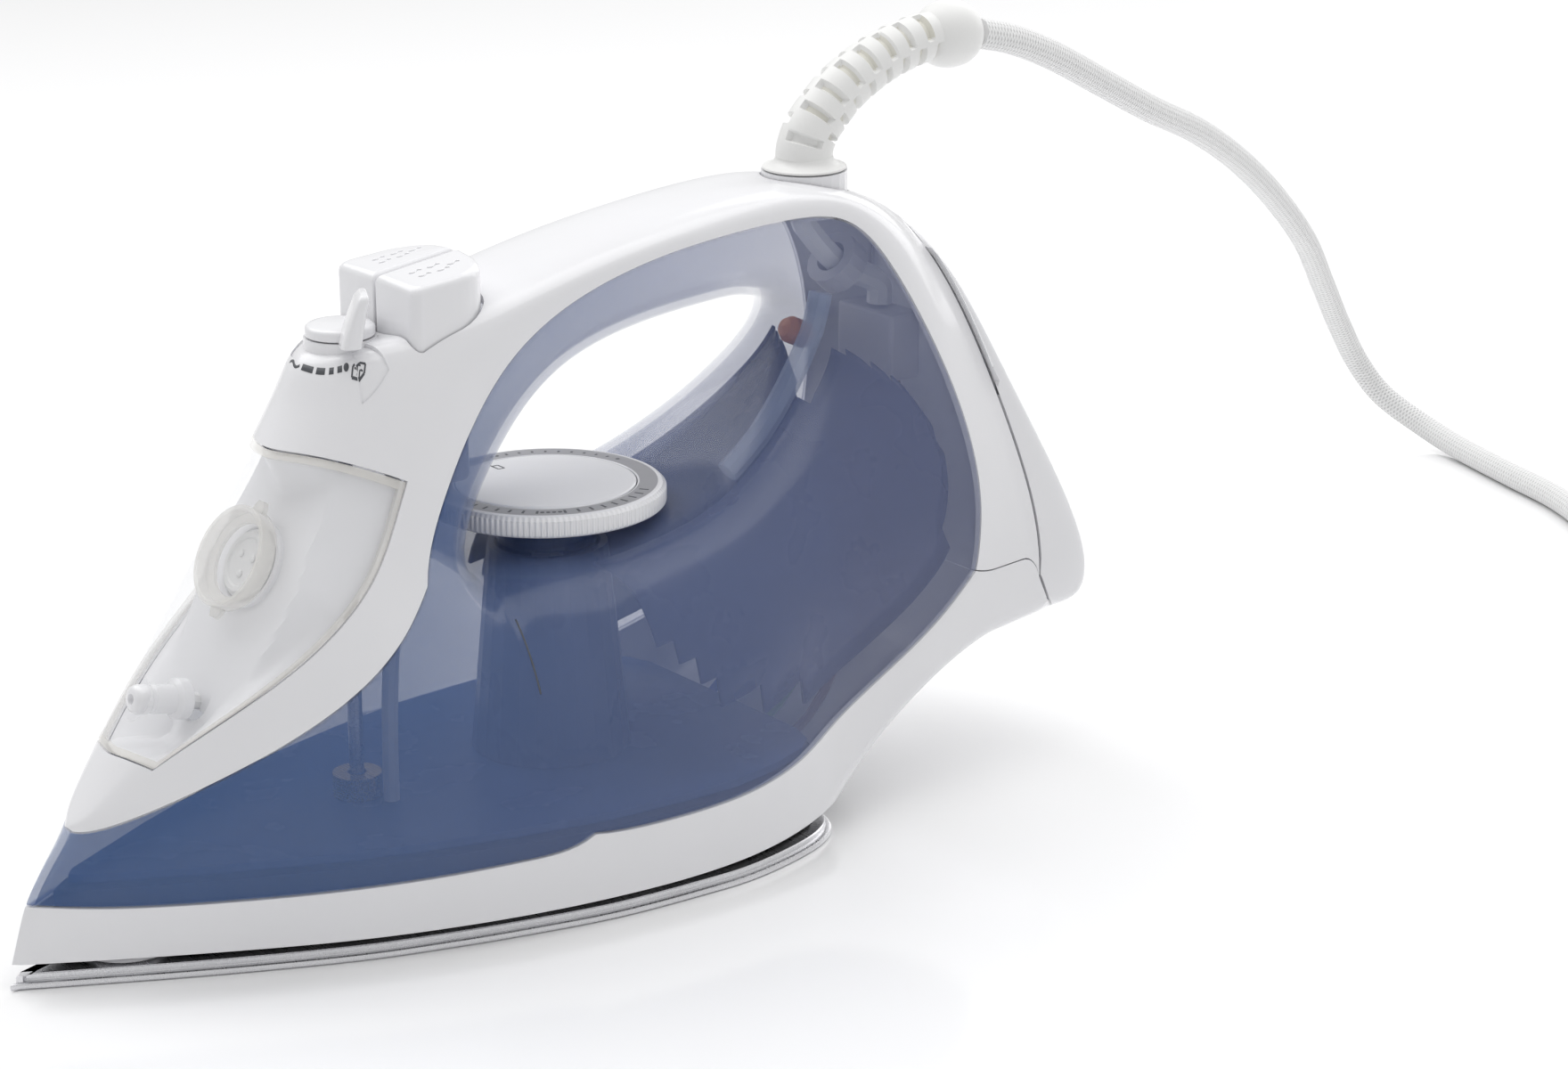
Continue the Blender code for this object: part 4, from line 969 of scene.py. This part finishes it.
def steam_mark(name, obj, x, y, look, body):
    """One raised wisp of the steam mark on a button."""
    tree = skin_of(obj)
    path = []
    for i in range(9):
        t = i / 8
        above = at(x + 0.5 * math.sin(t * math.tau), y + 3.4 * (t - 0.5), PRINT_HEIGHT)
        spot = laid(tree, above, Vector((0, 0, -1)), 0.05)
        if spot:
            path.append(spot)
    if len(path) > 4:
        shape, _ = swept(path, 0.24, 8)
        finished(name, shape, look, body)


def lever(looks):
    """The steam lever: a domed disc and a blade that leans back over it."""
    x, y = LEVER_AXIS
    low, high = BOSS_TOP + GAP, LEVER_DISC_TOP
    r = LEVER_DISC_RADIUS
    profile = ((0, low), (r - 0.2, low), (r, low + 0.2), (r, high - 1.1), (r - 0.2, high - 0.6),
               (r - 0.7, high - 0.25), (r - 2.2, high - 0.05), (0, high))
    disc = lathe(profile, at(x, y, 0), (0, 0, 1), 72)
    finished("lever_disc", disc, looks["white"], "lever", replaces=["steam_lever"])
    turn = Matrix.Rotation(math.radians(LEVER_REST), 3, "Z")
    rings = []
    heights = [low] + [low + (LEVER_TOP - low) * t for t in (0.15, 0.35, 0.55, 0.75, 0.9, 0.97, 1)]
    for height in heights:
        t = (height - low) / (LEVER_TOP - low)
        shift = 1.5 + 3.4 * t**1.15
        half = 2.6 - 1.15 * t
        front, back = -15 + 0.5 * t, -4 - 1.0 * t
        close = max(0.0, (t - 0.9) / 0.1)
        half *= 1 - 0.45 * close**2
        front, back = front + 1.2 * close**2, back - 1.2 * close**2
        ring = []
        for i in range(28):
            angle = math.tau * i / 28
            c, s = math.cos(angle), math.sin(angle)
            px = shift + half * math.copysign(abs(c)**0.55, c)
            py = (front + back) / 2 + (back - front) / 2 * math.copysign(abs(s)**0.45, s)
            ring.append(at(x, y, 0) + turn @ Vector((px, py, height)) * MM)
        rings.append(ring)
    finished("lever_blade", loft(rings), looks["white"], "lever")


def printed(name, tree, flat, way, look, body, lift=0.05, thick=0.03, fine=1.2):
    """Ink on a surface: flat loops of world points laid on it along a direction."""
    shape = bmesh.new()
    for loop in flat:
        shape.faces.new([shape.verts.new(p) for p in loop])
    bmesh.ops.triangulate(shape, faces=shape.faces)
    for _ in range(4):
        long = [e for e in shape.edges if e.calc_length() > fine * MM]
        if not long:
            break
        bmesh.ops.subdivide_edges(shape, edges=long, cuts=1, use_grid_fill=False)
        bmesh.ops.triangulate(shape, faces=shape.faces)
    way = way.normalized()
    for vert in list(shape.verts):
        spot = laid(tree, vert.co - way * 60 * MM, way, lift)
        if spot is None:
            shape.verts.remove(vert)
        else:
            vert.co = spot
    bmesh.ops.recalc_face_normals(shape, faces=shape.faces)
    obj = finished(name, shape, look, body)
    solid = obj.modifiers.new("ink", "SOLIDIFY")
    solid.thickness = thick * MM
    solid.offset = 0
    return obj


def arc_box(centre, radii, angles, z=PRINT_HEIGHT, steps=6):
    """A flat loop round part of a ring, its angles measured from straight ahead to +X."""
    x, y = centre
    loop = []
    for r, order in ((radii[0], 1), (radii[1], -1)):
        row = []
        for i in range(steps + 1):
            angle = math.radians(angles[0] + (angles[1] - angles[0]) * i / steps)
            row.append(at(x + r * math.sin(angle), y - r * math.cos(angle), z))
        loop += row[::order]
    return loop


def disc_loop(x, y, z, radius, steps=16, turn=0.0):
    """A flat round loop."""
    return [at(x + radius * math.cos(turn + math.tau * i / steps),
               y + radius * math.sin(turn + math.tau * i / steps), z) for i in range(steps)]


def ribbon(path, width):
    """A flat loop of one width along a list of plan points in millimetres."""
    left, right = [], []
    for i, point in enumerate(path):
        before, after = Vector(path[max(i - 1, 0)]), Vector(path[min(i + 1, len(path) - 1)])
        along = (after - before).normalized()
        off = Vector((-along.y, along.x)) * width / 2
        left.append(Vector(point) + off)
        right.append(Vector(point) - off)
    return left + right[::-1]


def lever_scale(handle, looks):
    """The printed scale round the lever: a wave, bars, a dot, and a hexagon with two strokes in
    it.
    """
    tree = skin_of(handle)
    loops = []
    radius = SCALE_RADIUS
    for start, end in SCALE_BARS:
        radii = (radius - SCALE_HALF_WIDTH, radius + SCALE_HALF_WIDTH)
        loops.append(arc_box(LEVER_AXIS, radii, (start, end)))
    x, y = LEVER_AXIS

    def spot(angle, radius):
        angle = math.radians(angle)
        return x + radius * math.sin(angle), y - radius * math.cos(angle)

    loops.append(disc_loop(*spot(64, radius), PRINT_HEIGHT, 0.6))
    wave = []
    for i in range(13):
        wave.append(spot(-14 + 22 * i / 12, radius - 0.3 * math.sin(i / 12 * math.tau)))
    loops.append([at(p.x, p.y, PRINT_HEIGHT) for p in ribbon(wave, 0.4)])
    hx, hy = spot(76, radius + 0.9)
    outer = [(hx + 1.0 * math.cos(math.radians(60 * i + 30)),
              hy + 1.9 * math.sin(math.radians(60 * i + 30))) for i in range(6)]
    for a, b in zip(outer, outer[1:] + outer[:1]):
        loops.append([at(p.x, p.y, PRINT_HEIGHT) for p in ribbon([a, b], 0.36)])
    for shift in (-0.5, 0.35):
        mark = [(hx + shift + 0.3 * math.sin(i * 1.1), hy - 0.8 + i * 0.27) for i in range(7)]
        loops.append([at(p.x, p.y, PRINT_HEIGHT) for p in ribbon(mark, 0.26)])
    printed("lever_scale", tree, loops, Vector((0, 0, -1)), looks["ink"], "iron", fine=0.9)


def dial(looks):
    """The temperature dial: knurled rim, printed ring and domed cap with its pointer mark."""
    foot = at(*DIAL_CENTRE, 0)
    steps = KNURLS * 4

    def knurl(radius, height, i):
        if radius < DIAL_RADIUS - 0.55:
            return radius
        return radius - (0.28 if i % 4 in (0, 1) else 0.0)

    low, high = DIAL_BOTTOM, DIAL_TOP
    rim = ((CAP_RADIUS + GAP, low + 3.4), (CAP_RADIUS + GAP, high - 0.15),
           (CAP_RADIUS + 0.5, high), (DIAL_RADIUS - 1.5, high), (DIAL_RADIUS - 0.9, high - 0.2),
           (DIAL_RADIUS - 0.35, high - 0.75), (DIAL_RADIUS, high - 1.1), (DIAL_RADIUS, low + 0.9),
           (DIAL_RADIUS - 0.4, low + 0.4), (DIAL_RADIUS - 1.2, low), (4.3, low), (4.3, low + 3.4))
    shape = lathe(rim, foot, (0, 0, 1), steps, closed=True, shape_radius=knurl)
    finished("dial_rim", shape, looks["white"], "dial", replaces=["temperature_dial"])
    top = high + 0.02
    ring = ((CAP_RADIUS + 0.75, top - 0.02), (CAP_RADIUS + 0.75, top), (DIAL_RADIUS - 2.1, top),
            (DIAL_RADIUS - 2.1, top - 0.02))
    finished("dial_ring", lathe(ring, foot, (0, 0, 1), 128, closed=True), looks["ring"], "dial")
    cap = ((0, high - 1.4), (CAP_RADIUS - 0.2, high - 1.4), (CAP_RADIUS, high - 1.2),
           (CAP_RADIUS, high - 0.1), (CAP_RADIUS - 0.25, high + 0.12),
           (CAP_RADIUS - 0.8, high + 0.19), (CAP_RADIUS - 3, high + 0.2), (10, high + 0.2),
           (0, high + 0.2))
    finished("dial_top", lathe(cap, foot, (0, 0, 1), 128), looks["white"], "dial",
             replaces=["dial_cap"])
    x, y = DIAL_CENTRE
    mid = (CAP_RADIUS + DIAL_RADIUS) / 2 - 0.7
    loops = []
    for i in range(40):
        angle = -170 + i * 7.6
        share = 0.35 + 0.65 * i / 39
        if i % 10:
            loops.append(arc_box(DIAL_CENTRE, (mid - 1.2 * share, mid + 1.2 * share),
                                 (angle - 0.7, angle + 0.7), high + 0.02, 2))
        else:
            for k in range(i // 10 + 1):
                a = math.radians(angle + 3.2 * (k - i / 20))
                spot = (x + mid * math.sin(a), y - mid * math.cos(a), high + 0.02)
                loops.append(disc_loop(*spot, 0.55, 12))
    shape = bmesh.new()
    for loop in loops:
        shape.faces.new([shape.verts.new(p) for p in loop])
    solid_loops(shape, 0.03)
    finished("dial_ticks", shape, looks["ink"], "dial")
    mark = bmesh.new()
    cx, cy = x - 16.5, y - 3
    for a, b in mark_sides(cx, cy, 3.0, 1.7):
        mark.faces.new([mark.verts.new(at(p.x, p.y, high + 0.2)) for p in ribbon([a, b], 0.42)])
    solid_loops(mark, 0.04)
    finished("dial_mark", mark, looks["ink"], "dial")


def mark_sides(x, y, width, height):
    """The four sides of a small upright rectangle with a foot, as pairs of points."""
    w, h = width / 2, height / 2
    corners = [(x - w, y - h), (x + w, y - h), (x + w, y + h), (x - w, y + h)]
    return list(zip(corners, corners[1:] + corners[:1])) + [((x - w - 0.8, y - h), (x - w, y - h))]


def solid_loops(shape, thick):
    """Gives flat faces a thickness upwards."""
    made = bmesh.ops.extrude_face_region(shape, geom=list(shape.faces))
    up = [v for v in made["geom"] if isinstance(v, bmesh.types.BMVert)]
    bmesh.ops.translate(shape, vec=Vector((0, 0, thick * MM)), verts=up)
    bmesh.ops.recalc_face_normals(shape, faces=shape.faces)


def filler(looks):
    """On the door: the plug's ring with its two tabs, and the seal with three dots."""
    mouth, axis = at(0, *MOUTH), Vector((0, *MOUTH_AXIS))
    ring = ((9.0, 3.2), (12.2, 3.2), (12.4, 3.5), (12.4, 7.4), (12.2, 7.6), (11.4, 7.6),
            (11.2, 7.4), (11.2, 4.4), (9.0, 4.2))
    finished("plug_ring", lathe(ring, mouth, axis, 64, closed=True), looks["rim"], "door",
             replaces=["filler_plug"])
    seal = ((0, -2.5), (7.9, -2.5), (8.4, -2.0), (8.4, 1.2), (7.6, 1.6), (7.6, 2.4), (7.2, 2.8),
            (6.2, 2.8), (5.8, 2.3), (0, 2.3))
    finished("plug_pad", lathe(seal, mouth, axis, 64), looks["rubber"], "door",
             replaces=["plug_seal"])
    turn = Vector((0, 0, 1)).rotation_difference(axis).to_matrix()
    for i in range(3):
        angle = math.tau * i / 3 + 0.5
        spot = mouth + turn @ Vector((3.0 * math.cos(angle), 3.0 * math.sin(angle), 2.35)) * MM
        dot = ((0, 0), (0.9, 0), (0.85, 0.35), (0.5, 0.55), (0, 0.6))
        finished(f"plug_dot_{i}", lathe(dot, spot, axis, 20), looks["rubber"], "door")
    for i, side in enumerate((-1, 1)):
        spot = turn @ Vector((0, side, 0))
        along = turn @ Vector((1, 0, 0))
        rings = []
        for reach, half in ((11.9, 2.2), (13.2, 1.9), (14.6, 1.0)):
            ring = []
            for a, b in ((-half, 3.4), (half, 3.4), (half, 4.8), (-half, 4.8)):
                ring.append(mouth + (spot * reach + along * a + axis * b) * MM)
            rings.append(ring)
        finished(f"plug_tab_{i}", loft(rings), looks["rim"], "door")
    neck = ((9, -14), (10.4, -14), (10.4, 0.4), (10.1, 0.8), (9.3, 0.8), (9, 0.4))
    finished("neck", lathe(neck, mouth, axis, 64, closed=True), looks["recess"], "iron",
             replaces=["filler_neck"])


def nozzle(looks):
    """The spray nozzle: a collar at its back, a groove, and a mouth with a sunk middle."""
    back, tip = at(0, *NOZZLE_BACK), at(0, *NOZZLE_TIP)
    length = (tip - back).length / MM
    r = NOZZLE_RADIUS
    profile = ((0, -0.4), (r + 1.2, -0.4), (r + 1.4, -0.2), (r + 1.4, 2.2), (r + 1.1, 2.6),
               (r, 3.2), (r, length - 5.6), (r - 0.35, length - 5.2), (r - 0.35, length - 4.4),
               (r, length - 4), (r, length - 1.6), (r - 0.5, length - 0.5),
               (r - 1.2, length - 0.05), (1.3, length), (1.1, length - 0.8),
               (0.6, length - 1.4), (0, length - 1.5))
    finished("nozzle", lathe(profile, back, tip - back, 48), looks["white"], "iron",
             replaces=["spray_nozzle"])


def smooth_outline(inset, per_span=6):
    """The soleplate's outline in plan, rounded, and drawn in by an inset."""
    half = [Vector((x, y, 0)) for x, y in SOLE_HALF_OUTLINE[:-1]]
    half += [Vector((26, 214.2, 0)), Vector((14, 214.5, 0)), Vector((0, 214.5, 0))]
    line = smooth_path(half, per_span)
    loop = line[:-1] + [Vector((-p.x, p.y, 0)) for p in reversed(line[1:])]
    loop = [p for i, p in enumerate(loop) if (p - loop[i - 1]).length > 0.05]
    count = len(loop)
    found = []
    for i in range(count):
        along = (loop[(i + 1) % count] - loop[i - 1]).normalized()
        found.append(loop[i] + Vector((-along.y, along.x, 0)) * inset)
    return found


def soleplate(looks):
    """The ironing plate: a thin polished foot, a step and the cast body's edge over it."""
    steps = ((2.0, 0.0), (1.1, 0.15), (0.75, 0.5), (0.7, 1.2), (0.9, 1.6), (1.3, 1.8),
             (2.2, 1.85), (2.35, 2.05), (2.35, 3.2), (2.6, 3.5), (3.2, 3.6))
    rings = []
    for inset, height in steps:
        rings.append([at(p.x, p.y, height) for p in smooth_outline(inset)])
    obj = finished("sole", loft(rings), looks["sole"], "iron", angle=28, replaces=["soleplate"])
    holes = bmesh.new()
    for x, y in STEAM_HOLES:
        for side in (-1, 1) if x else (1,):
            where = Matrix.Translation(at(x * side, y, SOLE_THICKNESS / 2))
            bmesh.ops.create_cone(holes, cap_ends=True, segments=20, radius1=STEAM_HOLE * MM,
                                  radius2=STEAM_HOLE * MM, depth=SOLE_THICKNESS * 2 * MM,
                                  matrix=where)
    cut(obj, holes, "holes")
    settle(obj)
    pad = ((0, 3.9), (11.4, 3.9), (12, 4.2), (12, 5.0), (11.6, 5.3), (9, 5.35), (8.8, 5.8),
           (0, 5.8))
    finished("pad", lathe(pad, at(*NOSE_PAD, 0), (0, 0, 1), 72), looks["grey"], "iron",
             replaces=["nose_pad"])


def guard_line():
    """The cord guard's centre line."""
    return smooth_path([at(0, *place) for place in GUARD_ROUTE], 22)


def guard(looks):
    """The cord guard: flange and neck, a sleeve with two rows of cross slots, and its ball."""
    y = GUARD_AXIS_Y
    base = ((0, 150.4), (7.1, 150.4), (7.3, 150.6), (7.3, 160.9), (10.5, 160.9), (10.8, 161.1),
            (10.7, 161.5), (9.2, 161.9), (8.0, 162.5), (7.5, 163.3), (7.3, 164), (0, 164))
    finished("guard_flange", lathe(base, at(0, y, 0), (0, 0, 1), 72), looks["cover"], "cord_set",
             replaces=["cord_guard"])
    line = guard_line()
    full = sum((b - a).length for a, b in zip(line, line[1:])) / MM

    def form(s, angle):
        """Radius of the sleeve: it tapers, and sinks in at each slot."""
        r = GUARD_RADIUS * (1 - GUARD_TAPER * s / full)
        pitch = full / SLOT_SPACES
        depth = 0.0
        for middle, shift in SLOT_ROWS:
            place = (s - SLOT_START) / pitch - shift
            index = round(place)
            if index < 0 or index > SLOT_LAST:
                continue
            across = abs(place - index) * pitch
            turn = (angle - middle * math.pi / 2 + math.pi) % math.tau - math.pi
            edge = max(0.0, 1 - max(0.0, across - SLOT_HALF_WIDTH) / 0.3)
            side = max(0.0, 1 - max(0.0, abs(turn) - SLOT_HALF_ANGLE) / 0.1)
            depth = max(depth, edge * side)
        return r - SLOT_DEPTH * depth

    shape, _ = swept(line, GUARD_RADIUS, 96, form)
    obj = finished("guard_sleeve", shape, [looks["cover"], looks["slot"]], "cord_set", angle=30)
    for polygon in obj.data.polygons:
        middle = polygon.center
        nearest = min((middle - p).length for p in line) / MM
        if nearest < GUARD_RADIUS * (1 - GUARD_TAPER) - 0.6:
            polygon.material_index = 1
    ball = []
    for i in range(25):
        angle = math.pi * i / 24
        c, s = math.cos(angle), math.sin(angle)
        ball.append((BALL_RADIUS * abs(s)**0.8 if 0 < i < 24 else 0,
                     BALL_RADIUS * math.copysign(abs(c)**0.92, c)))
    finished("guard_ball", lathe(ball, at(0, *BALL_CENTRE), (0, 1, 0), 64), looks["cover"],
             "cord_set")


def coil_route():
    """The cord's turns: in from outside, three turns side by side, then two turns on top."""
    cx, cy = COIL_CENTRE
    low, high = COIL_LAYERS
    places = []
    # (turns so far, radius, height): the cord moves evenly from each stop to the next.
    stops = ((0, 60.4, 5.0), (0.16, 52, low), (1.0, 52, low), (1.12, 44, low), (2.0, 44, low),
             (2.12, 36, low), (3.0, 36, low), (3.14, 40, high), (4.0, 40, high),
             (4.12, 48, high), (4.9, 48, high))
    for (t0, r0, z0), (t1, r1, z1) in zip(stops, stops[1:]):
        count = max(4, round((t1 - t0) * 48))
        for i in range(count):
            s = i / count
            ease = s * s * (3 - 2 * s)
            angle = math.radians(COIL_START + 360 * (t0 + (t1 - t0) * s))
            r, z = r0 + (r1 - r0) * ease, z0 + (z1 - z0) * ease
            places.append((cx + r * math.cos(angle), cy + r * math.sin(angle), z))
    return places


def cord(looks):
    """The mains cord on one line: the part seen, the coil, and the tail into the plug."""
    seen = smooth_path([at(*p) for p in CORD_ROUTE], 10)
    coil = [at(*p) for p in coil_route()][2:]
    tail = smooth_path([at(*p) for p in TAIL_ROUTE], 6)
    join = smooth_path([coil[-2], coil[-1], *[at(*p) for p in TAIL_LEAD], tail[0], tail[1]], 6)
    line = seen + coil + join[7:-6] + tail
    line = [p for i, p in enumerate(line) if i == 0 or (p - line[i - 1]).length > 0.3 * MM]
    shape, length = swept(line, CORD_RADIUS, 20)
    obj = finished("mains_cord", shape, looks["braid"], "cord_set",
                   replaces=["cord", "cord_coil", "cord_tail"])
    return obj, line, length


def plug(looks):
    """The plug on the tail: ribbed relief and body with grip ribs."""
    place = at(*TAIL_ROUTE[-1])
    relief = [(0, 0.3), (4.4, 0.3)]
    for i in range(25):
        t = i / 24
        relief.append((4.7 + 3.8 * t - (0.8 if i % 4 in (2, 3) and i < 22 else 0), 0.4 + 29.8 * t))
    relief.append((0, 30.3))
    finished("relief", lathe(relief, place, (0, 1, 0), 48), looks["cover"], "cord_set",
             replaces=["plug_relief"])

    def grip(radius, height, i):
        ribbed = 40 < height < 56 and radius > 12
        return radius - (0.5 if ribbed and i % 6 < 3 else 0)

    body = [(0, 30.6), (9.3, 30.6), (9.5, 30.9), (11.0, 35), (13, 40.1), (15.6, 45), (17.2, 50),
            (17.2, 55.9), (17.4, 56.6), (17.4, 63.4), (17.2, 64.4), (14.6, 67.6), (13.8, 68),
            (0, 68)]
    finished("plug_shell", lathe(body, place, (0, 1, 0), 96, shape_radius=grip), looks["cover"],
             "cord_set", replaces=["plug_body"])


def level_mark(tank, looks):
    """The fill line printed on the tank's side."""
    tree = skin_of(tank)
    way = Vector((-1, 0.15, 0))
    (y0, z0), (y1, z1) = LEVEL_LINE
    half, beside = LEVEL_HALF_WIDTH, 90
    loop = [at(beside, y0 - half, z0), at(beside, y0 + half, z0), at(beside, y1 + half, z1),
            at(beside, y1 - half, z1)]
    printed("level_line", tree, [loop], way, looks["ink"], "iron", lift=0.06)


def finish_nodes(looks):
    """Materials for the CAD nodes that stay."""
    kinds = {
        "shield": ("heat_shield",),
        "floor": ("tank_floor",),
        "navy": ("thermostat_well", "dial_bush"),
        "cast": ("thermostat_body", "heater_block"),
        "grey": ("dial_shaft", "burst_piston", "burst_barrel", "spray_piston", "spray_barrel",
                 "cord_clamp", "terminal_block", "thermal_fuse"),
        "steel": ("valve_rod", "burst_spring", "spray_spring", "heating_element",
                  "steam_chamber_cover"),
        "brass": ("valve_seat", "plug_pin_left", "plug_pin_right"),
        "rubber": ("spray_hose", "burst_hose", "coil_tie"),
        "tube": ("inner_water_tube",),
        "amber": ("pilot_lamp",),
        "white": ("guard_seat",),
        "cover": ("inner_cord",),
        "brown": ("live_lead",),
        "sky": ("neutral_lead",),
        "green": ("earth_lead",),
    }
    for kind, names in kinds.items():
        for name in names:
            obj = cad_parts[name]
            for slot in obj.material_slots:
                slot.material = looks[kind].made


def make_looks():
    found = {}
    found["white"] = Look("white_gloss", (0.80, 0.80, 0.82), 0.2, coat=0.25).moulded()
    found["recess"] = Look("white_satin", (0.80, 0.80, 0.82), 0.38).moulded(vary=0.15)
    found["cover"] = Look("white_flex", (0.80, 0.80, 0.79), 0.42).moulded(0.03, 0.2, 1500.0, 0.12)
    found["slot"] = Look("slot_shade", (0.70, 0.69, 0.63), 0.6).moulded(0.08)
    found["grey"] = Look("grey_plastic", (0.52, 0.52, 0.54), 0.4).moulded()
    found["ring"] = Look("ring_grey", (0.32, 0.32, 0.34), 0.35).moulded(0.03)
    found["ink"] = Look("ink", (0.085, 0.09, 0.1), 0.5).moulded(0.1)
    found["navy"] = Look("navy_plastic", (0.02, 0.045, 0.12), 0.3).moulded(0.08)
    found["shield"] = Look("dark_phenolic", (0.03, 0.03, 0.033), 0.45).moulded(
        0.15, 0.3, 900.0, 0.25)
    found["rubber"] = Look("silicone", (0.74, 0.74, 0.74), 0.5).moulded(0.03, 0.2, 1200.0, 0.1)
    found["amber"] = Look("amber_lens", (0.75, 0.25, 0.04), 0.15).moulded(0.05)
    for name, colour in (("brown", (0.16, 0.06, 0.025)), ("sky", (0.04, 0.12, 0.5)),
                         ("green", (0.12, 0.36, 0.06))):
        found[name] = Look(f"lead_{name}", colour, 0.45).moulded(0.05)
    found["sole"] = brushed("polished_sole", (0.78, 0.78, 0.80), 0.3)
    found["steel"] = brushed("steel", (0.52, 0.52, 0.54), 0.3)
    found["brass"] = brushed("brass", (0.72, 0.55, 0.25), 0.25)
    found["cast"] = Look("cast_aluminium", (0.56, 0.56, 0.57), 0.5, metallic=1.0).moulded(
        0.06, 0.3, 500.0, 0.4)
    found["braid"] = braided("white_braid", (0.86, 0.86, 0.86))
    found["clear"] = Look("clear_plastic", (0.93, 0.94, 0.96), 0.05, alpha=0.12).vary(0.5)
    found["rim"] = Look("clear_rim", (0.84, 0.82, 0.78), 0.08, alpha=0.42).vary(0.4)
    found["tube"] = Look("clear_tube", (0.55, 0.66, 0.82), 0.08, alpha=0.45).vary(0.4)
    found["tank"] = tank_look("tank_blue", 0.46, 0.24)
    # The chamber wall's near-black navy is painted shade inside the tank.
    found["chamber"] = Look("chamber_painted_shade", (0.006, 0.02, 0.085), 0.3).moulded(0.1)
    found["floor"] = Look("tank_floor_blue", (0.06, 0.12, 0.30), 0.25, alpha=0.8).moulded(0.05)
    return found


def tank_look(name, front, rear):
    """Translucent blue plastic, deeper at the nose and milkier towards the rear."""
    look = Look(name, (0.09, 0.18, 0.40), 0.16, coat=0.2)
    along = look.ramp(look.axis("Y"), -0.12, 0.10, smooth=True)
    cloud = look.ramp(look.noise(14.0, 3.0), 0.35, 0.7, -0.12, 0.12)
    share = look.maths("ADD", along, cloud)
    share.node.use_clamp = True
    look.paint(look.blend(share, (0.07, 0.15, 0.36), (0.25, 0.29, 0.48)))
    look.feed(look.shader.inputs["Alpha"], look.ramp(share, 0.0, 1.0, front, rear))
    look.vary(0.35, 40.0)
    return look.bump(look.noise(1500.0, 2.0), 0.04, 0.0002)


def stage():
    """Floor, soft lights and the camera."""
    shape = bmesh.new()
    bmesh.ops.create_grid(shape, x_segments=1, y_segments=1, size=FLOOR_SIZE)
    look = Look("floor_white", (0.96, 0.96, 0.965), 0.12)
    look.vary(0.2, 3.0)
    floor = finished("floor", shape, look, None)
    world = bpy.data.worlds.new("studio")
    bpy.context.scene.world = world
    world.use_nodes = True
    background = world.node_tree.nodes["Background"]
    background.inputs["Color"].default_value = (1.0, 1.0, 1.0, 1.0)
    background.inputs["Strength"].default_value = WORLD_LIGHT
    seen = world.node_tree.nodes.new("ShaderNodeBackground")
    seen.inputs["Strength"].default_value = 1.0
    path = world.node_tree.nodes.new("ShaderNodeLightPath")
    mix = world.node_tree.nodes.new("ShaderNodeMixShader")
    world.node_tree.links.new(path.outputs["Is Camera Ray"], mix.inputs[0])
    world.node_tree.links.new(background.outputs[0], mix.inputs[1])
    world.node_tree.links.new(seen.outputs[0], mix.inputs[2])
    world.node_tree.links.new(mix.outputs[0], world.node_tree.nodes["World Output"].inputs[0])
    for name, place, power, size in LAMPS:
        data = bpy.data.lights.new(name, "AREA")
        data.energy, data.size = power, size
        lamp = bpy.data.objects.new(name, data)
        bpy.context.scene.collection.objects.link(lamp)
        lamp.location = place
        lamp.rotation_mode = "QUATERNION"
        away = Vector(place) - Vector(LAMP_TARGET)
        lamp.rotation_quaternion = away.to_track_quat("Z", "Y")
    data = bpy.data.cameras.new("camera")
    data.sensor_width = 36.0
    data.lens = LENS
    camera = bpy.data.objects.new("camera", data)
    bpy.context.scene.collection.objects.link(camera)
    azimuth, elevation = (math.radians(a) for a in VIEW_ANGLES)
    back = Vector((math.sin(azimuth) * math.cos(elevation),
                   -math.cos(azimuth) * math.cos(elevation), math.sin(elevation)))
    camera.location = Vector(VIEW_TARGET) + back * VIEW_DISTANCE
    camera.rotation_mode = "QUATERNION"
    camera.rotation_quaternion = back.to_track_quat("Z", "Y")
    bpy.context.scene.camera = camera
    bpy.context.scene.view_settings.view_transform = "Standard"


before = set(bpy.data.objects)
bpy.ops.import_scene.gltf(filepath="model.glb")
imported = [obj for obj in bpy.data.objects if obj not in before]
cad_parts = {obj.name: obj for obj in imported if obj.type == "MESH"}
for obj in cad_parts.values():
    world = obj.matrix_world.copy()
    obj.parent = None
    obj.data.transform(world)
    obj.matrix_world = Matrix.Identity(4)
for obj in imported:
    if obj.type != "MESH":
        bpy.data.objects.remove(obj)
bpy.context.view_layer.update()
looks = make_looks()
stage()
finish_nodes(looks)
made = outer_shells(looks)
lever(looks)
lever_scale(made["handle"], looks)
buttons(looks)
dial(looks)
filler(looks)
nozzle(looks)
soleplate(looks)
level_mark(made["tank"], looks)
inner_chamber_shade(looks)
guard(looks)
plug(looks)
cord_obj, line, length = cord(looks)
